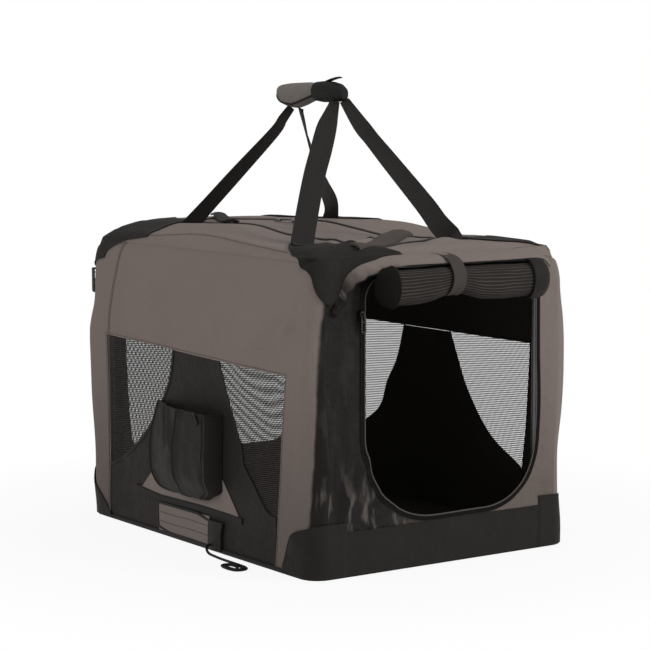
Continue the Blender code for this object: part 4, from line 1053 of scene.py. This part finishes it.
def make_top_patch(name, side, end, edge, tip):
    """A patch fanned out over the roof from its tip at the strap, then turned down its edge."""
    parts, top_rows, low_rows = 44, 9, 7
    low = even_line(curve_through(edge, 4), parts)

    def cell(step, index):
        a, z = low[index]
        over = max(0.0, a - HALF_Y)
        edge_spot = Vector((side * (HALF_X - over), end * min(a, HALF_Y)))
        if step <= top_rows:
            start = Vector(tip[0]).lerp(Vector(tip[1]), index / parts)
            spot = start.lerp(edge_spot, step / top_rows)
            point = (spot.x, spot.y, TOP)
        else:
            point = (edge_spot.x, edge_spot.y, TOP + (z - TOP) * (step - top_rows) / low_rows)
        return (a + side * end, step * 0.012 + end), point
    rows, spots = grid(top_rows + low_rows + 1, parts + 1, cell)
    patch = cloth_panel(name + "_corner_patch", rows, lambda u, v, out: swell(spots[(u, v)], out),
                        "black", 0.0024, 0.0014)
    on_roof(patch, name + "_top_patch")
    on_roof(piped(name + "_patch_hem", [swell(spots[flat], 0.0024) for flat in rows[-1]], 0.0010))


make_top_patch("left_front", -1, -1, FRONT_PATCH, ((-0.216, -0.222), (-0.184, -0.262)))
make_top_patch("left_rear", -1, 1, REAR_PATCH, ((-0.190, 0.160), (-0.150, 0.185)))
make_top_patch("right_front", 1, -1, FAR_PATCH, ((0.172, -0.168), (0.140, -0.205)))
make_top_patch("right_rear", 1, 1, REAR_PATCH, ((0.185, 0.195), (0.148, 0.220)))


# Roof with its hatch
def make_hatch():
    outline = rounded(-0.1205, 0.0805, -0.2505, 0.2355, 0.0555, 0.0555, 0.0555, 10)
    tape = strip("roof_zip_cloth", outline, top_face, "binding", 0.0085, 0.0010, loop=True)
    on_roof(tape, "roof_zip_tape")
    on_roof(strip("roof_zip_coil", outline, top_face, "coil", 0.0022, 0.0020, loop=True, crown=0.0007))
    line = curve_through(((0.066, -0.160), (0.000, -0.212), (-0.105, -0.296), (-0.160, -0.325)))
    # The fold is drawn in the darker copy of the grey cloth, and black piping runs along both its edges:
    # painted shade.
    on_roof(strip("hatch_flap_fold", line, top_face, "fold", 0.020, 0.0050, 0.0040, crown=0.0045))
    for name, (dx, dy) in (("upper", (0.0065, 0.0085)), ("lower", (-0.0065, -0.0085))):
        edge = [Vector((p.x + dx, p.y + dy, TOP + 0.0048)) for p in line]
        on_roof(piped(f"hatch_{name}_fold_edge", edge, 0.0011))
    line = curve_through(((-0.022, 0.300), (-0.075, 0.195), (-0.148, 0.052)))
    on_roof(strip("hatch_tie_strap", line, top_face, "webbing", 0.025, 0.0055, 0.0030, crown=0.0020))
    for name, (x, y), turn in (("rear", (0.030, 0.178), 0.4), ("front", (0.040, 0.140), -0.7)):
        spot = drape(Vector((x, y, TOP + 0.0022)))
        on_roof(cast_block(f"hatch_{name}_slider", (0.0048, 0.0075, 0.0030),
                           spot + Vector((0, 0, 0.0022)), turn))
        way = Vector((math.sin(turn), -math.cos(turn), 0))
        on_roof(cast_block(f"hatch_{name}_pull", (0.0035, 0.0120, 0.0012),
                           spot + way * 0.017 + Vector((0, 0, 0.0038)), turn))


def make_roof():
    xs = [-0.280, -0.273, -0.266] + spread(-HALF_X, HALF_X, 86) + [0.266, 0.273, 0.280]
    ys = [-0.370, -0.363, -0.356] + spread(-HALF_Y, HALF_Y, 112) + [0.356, 0.363, 0.370]
    rows = [[(x, y) for x in xs] for y in ys]
    roof = cloth_panel("roof_cloth", rows, top_face, "grey+lining", 0.0, 0.0015)
    on_roof(roof, "roof_panel")
    make_hatch()
    for name, side in (("left", -1), ("right", 1)):
        line = curve_through([(side * (HALF_X - 0.004), y) for y in (-0.27, -0.12, 0.0, 0.12, 0.20)])
        seam = [Vector((p.x, p.y, TOP + 0.0002)) for p in line]
        on_roof(piped(name + "_roof_seam", seam, 0.0010, "piping"))


make_roof()


# Rolled-up door with its end covers, the hood over it and its strap
ROLL_Y, ROLL_Z, ROLL_DEEP, ROLL_TALL = -0.385, 0.4565, 0.0225, 0.0310
# How far the strap lifts the middle of the roll
STRAP_LIFT = 0.0070
# Rings of the end covers: places along the roll, and shares of its size
ROLL_ENDS = {"left": ((-0.1600, 0.20), (-0.1590, 0.42), (-0.1560, 0.64), (-0.1510, 0.82),
                      (-0.1450, 0.95), (-0.1390, 1.02), (-0.1330, 1.03)),
             "right": ((0.1760, 0.25), (0.1750, 0.55), (0.1720, 0.80), (0.1670, 0.95),
                       (0.1600, 1.03), (0.1480, 1.04), (0.1380, 1.03))}
# Edges of the hood: place along the door, height, and distance before the wall
HOOD_UPPER = ((-0.226, 0.420, 0.0), (-0.212, 0.444, 0.001), (-0.200, 0.472, 0.002),
              (-0.176, 0.489, 0.003), (-0.145, 0.497, 0.002), (-0.100, 0.506, 0.0), (0.0, 0.508, 0.0),
              (0.100, 0.508, 0.0), (0.180, 0.506, 0.0), (0.212, 0.500, 0.0))
HOOD_LOWER = ((-0.217, 0.412, 0.001), (-0.203, 0.431, 0.003), (-0.190, 0.456, 0.007),
              (-0.166, 0.472, 0.014), (-0.135, 0.483, 0.024), (-0.100, 0.4885, 0.032),
              (0.0, 0.4885, 0.036), (0.100, 0.4885, 0.036), (0.170, 0.4880, 0.035),
              (0.200, 0.4740, 0.022))


def roll_size(x):
    """The roll's middle height and half sizes at one place along it, pinched by its strap."""
    pinch = hump(x, -0.014, 0.042)
    full = 1 + 0.05 * noise.noise(Vector((x * 11, 4, 0)))
    deep, tall = ROLL_DEEP * full * (1 - 0.06 * pinch), ROLL_TALL * full * (1 - 0.24 * pinch)
    return ROLL_Z + STRAP_LIFT * pinch, deep, tall


def make_roll():
    turns = 3.9
    steps = int(turns * 26)
    rows = []
    for step in range(steps + 1):
        wound = step / steps
        angle = math.radians(95) - 2 * math.pi * turns * (1 - wound)
        row = []
        for x in spread(-0.148, 0.168, 72):
            height, deep, tall = roll_size(x)
            share = 0.30 + 0.70 * wound
            share *= 1 + 0.05 * noise.noise(Vector((x * 24, angle * 0.8, 2.0))) * wound
            faces = [Vector((x, ROLL_Y + (deep * share + offset) * math.cos(angle),
                             height + (tall * share + offset) * math.sin(angle)))
                     for offset in (0.0010, -0.0010)]
            row.append(((x, 0.11 * wound * turns * (0.3 + 0.35 * wound)), *faces))
        rows.append(row)
    roll = sandwich("rolled_door", rows, "roll_net")
    on_roof(roll, "door_roll")
    for name, ends in ROLL_ENDS.items():
        rings = []
        for x, share in ends:
            height, deep, tall = roll_size(x)
            rings.append(ring((x, ROLL_Y, height), (0, 1, 0), deep * share + 0.0012,
                              tall * share + 0.0012, 40))
        # The left end cover wears the darker copy of the black cloth: painted shade.
        on_roof(loft(f"roll_{name}_end_cover", rings, "deep" if name == "left" else "black"))
        on_roof(cord_tube(f"roll_{name}_end_hem", closed(rings[-1]), 0.0013, "binding", 6))


def make_hood():
    """The grey hood over the roll, gathered round the door's upper left corner."""
    upper, lower = (even_line(curve_through(line), 110) for line in (HOOD_UPPER, HOOD_LOWER))

    def cell(step, index):
        t = step / 10
        spot = upper[index].lerp(lower[index], t)
        gather = 1 - ease(upper[index].x, -0.17, -0.10)
        spot.z += 0.0075 * math.sin(math.pi * t) * (1 - 0.4 * gather)
        spot.z += 0.0028 * gather * math.sin(index * 1.15) * ease(t, 0.0, 0.3)
        return (index * 0.0046, t * 0.045), spot
    rows, spots = grid(11, 111, cell)

    def place(u, v, out):
        spot = spots[(u, v)]
        return Vector((spot.x, -(HALF_Y + spot.z + out), spot.y))
    hood = cloth_panel("door_hood", rows, place, "hood", 0.0022, 0.0014)
    on_roof(hood)
    on_roof(piped("door_hood_hem", [place(*flat, 0.0026) for flat in rows[-1]], 0.0011))


def make_roll_strap():
    """The strap from under the hood's edge round the front of the roll."""
    parts, half = 46, 0.0125
    line = [(-0.3490, 0.5040), (-0.3610, 0.5030), (-0.3740, 0.5010), (-0.3865, 0.4970),
            (-0.3960, 0.4900)]
    for step in range(21):
        angle = math.radians(132 + 183 * step / 20)
        line.append((ROLL_Y + 0.0245 * math.cos(angle), ROLL_Z + STRAP_LIFT + 0.0262 * math.sin(angle)))
    path = even_line(line, parts)
    rows = []
    for index, point in enumerate(path):
        way = way_along(path, index)
        out = Vector((-way.y, way.x))
        row = []
        for share in ACROSS:
            x = -0.0175 + half * share + 0.0035 * math.sin(index * 0.11)
            spots = [point + out * (lift + 0.0006 * (1 - share * share)) for lift in (0.0018, 0.0)]
            row.append(((half * share, index * 0.004), *(Vector((x, *spot)) for spot in spots)))
        rows.append(row)
    strap = sandwich("roll_strap_webbing", rows, "faded")
    on_roof(strap, "roll_strap")


make_roll()
make_hood()
make_roll_strap()


# Side pocket, the panel behind it, the patch and the tab below it
left_face = side_face(-1)
POCKET_EDGE = ((0.062, 0.0805), (0.105, 0.084), (0.130, 0.100), (0.141, 0.130), (0.140, 0.165),
               (0.128, 0.200), (0.112, 0.2315))


def make_pocket():
    """A pouch gathered at its lower corners, with a gusset along its front edge."""
    rear = even_line(curve_through(POCKET_EDGE), 34)

    def cell(step, part):
        point = rear[step]
        share = (point.y - 0.079) / 0.153
        low_round = 1 - ease(share, 0.0, 0.22)
        front = -0.092 + 0.040 * low_round ** 2
        z_front = point.y + 0.004 * low_round
        t = part / 48
        flat = (point.x + (front - point.x) * t, point.y + (z_front - point.y) * t)
        depth = ease(t, 0.0, 0.50) ** 0.85 * (1 - ease(t, 0.955, 1.0) ** 2)
        depth *= 0.30 + 0.70 * ease(share, 0.0, 0.30) ** 0.7
        depth *= 1 - 0.12 * ease(share, 0.6, 1.0) * (1 - ease(t, 0.5, 0.9))
        depth -= 0.30 * fold(flat[0], flat[1], (0.075, 0.232), (0.045, 0.165), 0.008)
        depth += 0.16 * fold(flat[0], flat[1], (0.052, 0.235), (0.030, 0.160), 0.009)
        depth += 0.07 * hump(t, 0.52, 0.045) * share - 0.05 * hump(t, 0.60, 0.04)
        depth -= 0.16 * hump(t, 0.915, 0.018) * (1 - ease(share, 0.25, 0.55))
        depth += 0.05 * noise.noise(Vector((flat[0] * 40, flat[1] * 30, 1)))
        return flat, 0.0285 * max(0.0, depth) + 0.0006
    rows, spots = grid(35, 49, cell)

    def place(u, v, out):
        return left_face(u, v, out + spots[(u, v)])
    pocket = cloth_panel("pocket_cloth", rows, place, "black", 0.0015, 0.0012)
    sewn(pocket, "side_pocket")
    for name, flats, radius in (("rim", rows[-1], 0.0015),
                                ("gusset_seam", [row[44] for row in rows], 0.0012),
                                ("front_seam", [row[25] for row in rows[5:]], 0.0009),
                                ("rear_seam", [row[0] for row in rows], 0.0010)):
        line = [left_face(*flat, spots[flat] + 0.0018) for flat in flats]
        sewn(piped("pocket_" + name, line, radius))
    rim = {round(u, 6): spots[(u, v)] for u, v in rows[-1]}

    def on_rim(u, v, out):
        return left_face(u, v, out + rim[min(sorted(rim), key=lambda known: abs(known - u))])
    sewn(stitches("pocket_rim_stitches", [(u, v - 0.0065) for u, v in rows[-1]], on_rim, 0.0017))
    line = [drape(left_face(-0.050 - 0.004 * k, 0.2335 - 0.0065 * k, 0.0325)) for k in range(4)]
    sewn(ribbon("pocket_pull_tab", line, [0.0050] * 4, 0.0016, [(0, 1, 0)] * 4))


def make_low_trims():
    low = even_line([(0.178, 0.066), (-0.145, 0.062)], 30)
    top = even_line([(0.137, 0.104), (-0.092, 0.124)], 30)
    backing = cloth_panel("backing_cloth", between(low, top, 8), left_face, "grey", 0.0010, 0.0009)
    sewn(backing, "pocket_backing")
    line = [(0.190, 0.071), (0.100, 0.064), (-0.020, 0.066), (-0.150, 0.064)]
    sewn(strip("pocket_foot_binding", line, left_face, "binding", 0.011, 0.0018, crown=0.0002))
    line = [Vector(p) + Vector((0, 0.0035)) for p in line]
    sewn(stitches("pocket_foot_stitches", line, left_face, 0.0020))
    rear, front, foot, head = 0.113, -0.048, 0.007, 0.056
    rows = [[(y, z) for y in spread(rear, front, 26)] for z in spread(foot, head, 8)]
    sewn(cloth_panel("low_patch", rows, left_face, "grey", 0.0014, 0.0010), "bottom_patch")
    for name, level in (("upper", 0.040), ("lower", 0.024)):
        line = [(y, level + 0.0012 * math.sin(y * 60)) for y in (0.108, 0.06, 0.01, -0.044)]
        line = curve_through(line)
        sewn(stitches(f"low_patch_{name}_stitches", line, left_face, 0.0014, 0.0036, 0.0044))
    line = closed([(rear, head), (front, head), (front, foot), (rear, foot)])
    sewn(strip("low_patch_binding", line, left_face, "binding", 0.0045, 0.0026, 0.0012, crown=0.0003))


def make_tie_tab():
    """The thick black tab that holds the tie cord, waisted and rounded at its foot."""
    def cell(step, part):
        z = 0.003 + 0.049 * step / 12
        narrow = 0.008 * hump(z, 0.030, 0.016) + 0.010 * (1 - ease(z, 0.0, 0.022))
        t = part / 10
        place = (-0.050 - narrow * 0.4 - (0.044 - narrow) * t, z)
        return place, 0.0040 + 0.0022 * math.sin(math.pi * t)
    rows, swells = grid(13, 11, cell)
    tab = cloth_panel("tie_tab", rows, lambda u, v, out: left_face(u, v, out + swells[(u, v)]),
                      "webbing", 0.0012, 0.0042)
    sewn(tab, "cord_tab")


def make_floor():
    """The bindings at the foot of the side walls, the floor cloth, and the quilted mat."""
    for name, side in (("left", -1), ("right", 1)):
        sewn(strip(name + "_base_binding", [(0.283, 0.0045), (-0.272, 0.0045)], side_face(side),
                   "binding", 0.0065, 0.0014))
    rows = [[(x, y) for x in spread(-0.2610, 0.2610, 40)] for y in spread(-0.3510, 0.3510, 52)]
    under = cloth_panel("base_cloth", rows, lambda x, y, out: Vector((x, y, 0.0015 + out)), "black",
                        0.0, 0.0013)
    sewn(under, "floor_cloth")
    rows = []
    for y in spread(-1, 1, 64):
        row = []
        for x in spread(-1, 1, 48):
            crown = (1 - max(abs(x), abs(y)) ** 14) ** 0.5
            quilt = 0.0020 * (hump(abs(x), 0.36, 0.020) + hump(abs(y), 0.34, 0.016))
            pinch = 1 - 0.006 * (1 - abs(x) ** 2) * abs(y) ** 6
            spot = Vector((x * 0.2255 * pinch, y * 0.3305, 0.0226))
            rise = 0.0038 * crown + 0.0030 * crown * (1 - x * x) * (1 - y * y) - quilt
            row.append(((spot.x, spot.y), spot + Vector((0, 0, rise)),
                        spot - Vector((0, 0, 0.0032 * crown))))
        rows.append(row)
    mat = sandwich("padded_mat", rows, "lining")
    sewn(mat, "floor_mat")


make_pocket()
make_low_trims()
make_tie_tab()
make_floor()


# Carry straps: place, half the width, and the turn of the width, from the roof up to the grip
STRAP_ROUTES = {
    "left_front": ((-0.2051, -0.2419, 0.5110, 0.0190, 0.0), (-0.1850, -0.2190, 0.5350, 0.0185, 0.0),
                   (-0.1208, -0.1530, 0.6145, 0.0182, 0.0), (-0.0818, -0.1183, 0.6601, 0.0183, 0.0),
                   (-0.0499, -0.0891, 0.6971, 0.0170, 0.1), (-0.0273, -0.0708, 0.7216, 0.0120, 0.2),
                   (-0.0102, -0.0574, 0.7410, 0.0080, 0.3)),
    "right_front": ((0.1264, -0.1994, 0.5152, 0.0190, 0.0), (0.1130, -0.1850, 0.5360, 0.0185, 0.1),
                    (0.1000, -0.1639, 0.5675, 0.0178, 0.2), (0.0640, -0.1206, 0.6343, 0.0162, 0.3),
                    (0.0390, -0.0946, 0.6778, 0.0140, 0.3), (0.0239, -0.0818, 0.7029, 0.0140, 0.3),
                    (0.0075, -0.0593, 0.7423, 0.0090, 0.3)),
    "left_rear": ((-0.1706, 0.1757, 0.5130, 0.0165, 0.6), (-0.1560, 0.1660, 0.5310, 0.0160, 0.6),
                  (-0.1317, 0.1505, 0.5627, 0.0150, 0.65), (-0.0905, 0.1239, 0.6166, 0.0140, 0.65),
                  (-0.0363, 0.0889, 0.6870, 0.0115, 0.7), (-0.0238, 0.0810, 0.7095, 0.0100, 0.7),
                  (-0.0112, 0.0730, 0.7300, 0.0080, 0.7)),
    "right_rear": ((0.1666, 0.2130, 0.5167, 0.0185, 0.4), (0.1501, 0.1832, 0.5499, 0.0170, 0.85),
                   (0.1231, 0.1637, 0.5807, 0.0160, 1.15), (0.0935, 0.1433, 0.6137, 0.0150, 1.40),
                   (0.0597, 0.1164, 0.6544, 0.0140, 1.62), (0.0275, 0.0883, 0.6950, 0.0125, 1.85),
                   (0.0040, 0.0679, 0.7290, 0.0080, 2.1))}
# The direction across the photographed view, in which a strap of no turn shows its width
FACE_ON = Vector((0.82, -0.572, 0))


def make_strap(name, route):
    """A strap from its seat on the roof, narrower where it is folded into the grip. The front
    straps have a toe that lies on the roof."""
    points = curve_through([row[:3] for row in route], 10)
    sizes = curve_through([(row[3], row[4], 0) for row in route], 10)
    end = math.copysign(1, route[0][1])
    toe = [drape(Vector((route[0][0] - 0.35 * step, route[0][1] + end * step, TOP + 0.0030)))
           for step in (0.030, 0.020, 0.010) if end < 0]
    path = toe + points
    sizes = [sizes[0]] * len(toe) + sizes
    wide = []
    for point, after, size in zip(path, path[1:] + path[-1:], sizes):
        way = (after - point).normalized() if after != point else Vector((0, 0, 1))
        flat = (FACE_ON - way * FACE_ON.dot(way)).normalized()
        wide.append(flat * math.cos(size[1]) + way.cross(flat) * math.sin(size[1]))
    strap = ribbon(name + "_webbing", path, [size[0] for size in sizes], 0.0018, wide)
    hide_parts(name + "_strap")
    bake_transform(strap)
    round(route_length(path), 2)
    round(0.030 * route_length(path), 4)


for strap_name, strap_route in STRAP_ROUTES.items():
    make_strap(strap_name, strap_route)


# Sections of the padded grip and of the bare webbing before it: place, half width, low and high
PAD_SECTIONS = ((0.1215, 0.0070, 0.7540, 0.7640), (0.1190, 0.0120, 0.7480, 0.7670),
                (0.1120, 0.0150, 0.7400, 0.7690), (0.1000, 0.0170, 0.7330, 0.7705),
                (0.0850, 0.0175, 0.7295, 0.7715), (0.0680, 0.0175, 0.7285, 0.7720),
                (0.0500, 0.0170, 0.7325, 0.7725), (0.0300, 0.0165, 0.7385, 0.7730),
                (0.0120, 0.0150, 0.7450, 0.7715), (0.0080, 0.0120, 0.7490, 0.7690))
WRAP_SECTIONS = ((0.0120, 0.0125, 0.7460, 0.7690), (0.0040, 0.0165, 0.7410, 0.7740),
                 (-0.0150, 0.0175, 0.7390, 0.7750), (-0.0350, 0.0175, 0.7390, 0.7740),
                 (-0.0520, 0.0160, 0.7395, 0.7710), (-0.0640, 0.0125, 0.7410, 0.7650),
                 (-0.0710, 0.0070, 0.7450, 0.7600))


def grip_rings(sections):
    return [ring((0, y, (low + high) / 2), (1, 0, 0), half, (high - low) / 2, power=2.6)
            for y, half, low, high in sections]


def make_grip():
    rings = grip_rings(PAD_SECTIONS)
    pad = plump(loft("grip_wrap", rings, "pad"), 4.0, 0.0012, 0.0030)
    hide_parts("grip_pad")
    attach(pad, "grip")
    wrap = loft("grip_front_wrap", grip_rings(WRAP_SECTIONS), "binding")
    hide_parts("grip_webbing")
    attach(wrap, "grip")
    for name, spot in (("left", 17), ("right", 25)):
        line = even_line(curve_through([each[spot] for each in rings]), 48)
        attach(cord_tube(f"grip_{name}_piping", line, 0.0019, "binding", 8), "grip")
    loop = ((0, -0.0200, 0.7740), (0, -0.0340, 0.7775), (0, -0.0480, 0.7800), (0, -0.0560, 0.7805))
    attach(ribbon("grip_loop", loop, [0.0055] * 4, 0.0018, [(1, 0, 0)] * 4), "grip")


def make_clip_tab():
    line = [(0, 0.3475, 0.4400), (0, 0.3600, 0.4410), (0, 0.3720, 0.4400), (0, 0.3790, 0.4360),
            (0, 0.3800, 0.4320)]
    path = [p + Vector((-0.231, 0, 0)) for p in even_line(curve_through(line), 20)]
    tab = ribbon("clip_webbing", path, [0.0085] * len(path), 0.0022, [(0.35, 0, 1)] * len(path))
    sewn(tab, "clip_tab")


make_grip()
make_clip_tab()


# Half of a top bar's sections from its end inward: place, half depth, half height and squareness
BAR_SECTIONS = ((0.2400, 0.0060, 0.0060, 2.0), (0.2385, 0.0105, 0.0090, 2.6),
                (0.2340, 0.0130, 0.0110, 3.2), (0.2130, 0.0130, 0.0110, 3.2),
                (0.2110, 0.0085, 0.0080, 2.4))


def make_bar(name, end):
    """A flat steel tube with a moulded block at each end."""
    sections = [(-x, *size) for x, *size in BAR_SECTIONS]
    sections += [(0.0, 0.0085, 0.0080, 2.4), *reversed(BAR_SECTIONS)]
    rings = [ring((x, end * 0.3145, 0.4705), (0, 1, 0), half, tall, 32, power)
             for x, half, tall, power in sections]
    bar = loft(name + "_tube", rings, "plastic")
    bar.data.materials.append(FINISHES["steel"][1])
    for face in bar.data.polygons:
        face.material_index = 1 if abs(face.center.x) < 0.2105 else 0
    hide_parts(name)
    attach(bar, "roof")


make_bar("front_bar", -1)
make_bar("rear_bar", 1)


# Pieces that the frame keeps, by their finish.
ZIP_NODES = ("front_slider", "rear_slider", "front_pull", "rear_pull")
CLIP_NODES = ("snap_clip", "clip_gate")
KEPT = {"steel": ("base_ring", "left_hoop", "right_hoop"),
        "plastic": ("left_front_bracket", "left_rear_bracket", "right_front_bracket",
                    "right_rear_bracket") + CLIP_NODES,
        "zip_metal": ZIP_NODES,
        "board": ("floor_board",)}
for finish_name, node_names in KEPT.items():
    for node_name in node_names:
        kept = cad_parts[node_name].data
        kept.materials.clear()
        kept.materials.append(FINISHES[finish_name][1])
        lay_out(kept)
for node_name in ZIP_NODES + CLIP_NODES:
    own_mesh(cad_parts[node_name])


# Floor and light
def make_floor_plane():
    """A pale floor that turns to plain white away from the crate and keeps its shadow."""
    finish = Finish("pale_floor")
    seen = finish.seen_by("Is Camera Ray", "Is Glossy Ray", "Is Transmission Ray")
    spot = finish.node("ShaderNodeNewGeometry", None, None, "Position")
    away = finish.node("ShaderNodeVectorMath", {"operation": "LENGTH"}, {0: spot}, "Value")
    far = finish.rise(away, 0.45, 1.0)
    matt = finish.node("ShaderNodeBsdfPrincipled", None,
                       {"Base Color": (0.86, 0.86, 0.86, 1), "Roughness": 0.9})
    glow = finish.node("ShaderNodeEmission", None, {"Color": WHITE, "Strength": 1.0})
    both = finish.node("ShaderNodeMixShader", None, {0: seen * (far * 0.10 + 0.90), 1: matt, 2: glow})
    finish.node("ShaderNodeOutputMaterial", None, {"Surface": both})
    data = bpy.data.meshes.new("floor")
    data.from_pydata([(-14, -14, 0), (14, -14, 0), (14, 14, 0), (-14, 14, 0)], [], [(0, 1, 2, 3)])
    data.materials.append(finish.data)
    floor = bpy.data.objects.new("floor", data)
    floor.location.z = -0.0004
    bpy.context.scene.collection.objects.link(floor)


def make_light():
    """A dim white world that looks white itself, and three soft lamps."""
    sky = Finish("studio", bpy.data.worlds)
    seen = sky.seen_by("Is Camera Ray", "Is Transmission Ray")
    dim, bright = (sky.node("ShaderNodeBackground", None, {"Color": WHITE, "Strength": strength})
                   for strength in (0.42, 1.0))
    both = sky.node("ShaderNodeMixShader", None, {0: seen, 1: dim, 2: bright})
    sky.node("ShaderNodeOutputWorld", None, {"Surface": both})
    bpy.context.scene.world = sky.data
    for name, spot, size, power in (("key", (2.4, -3.6, 2.5), 1.8, 112),
                                    ("side", (-3.6, -0.2, 2.2), 2.2, 42),
                                    ("top", (0.3, 0.6, 3.4), 2.0, 14)):
        lamp = bpy.data.objects.new(name, bpy.data.lights.new(name, "AREA"))
        lamp.data.size = size
        lamp.data.energy = power
        lamp.location = spot
        lamp.rotation_euler = (Vector((0, 0, 0.3)) - Vector(spot)).to_track_quat("-Z", "Y").to_euler()
        bpy.context.scene.collection.objects.link(lamp)


make_floor_plane()
make_light()
bpy.context.scene.view_settings.view_transform = "Standard"
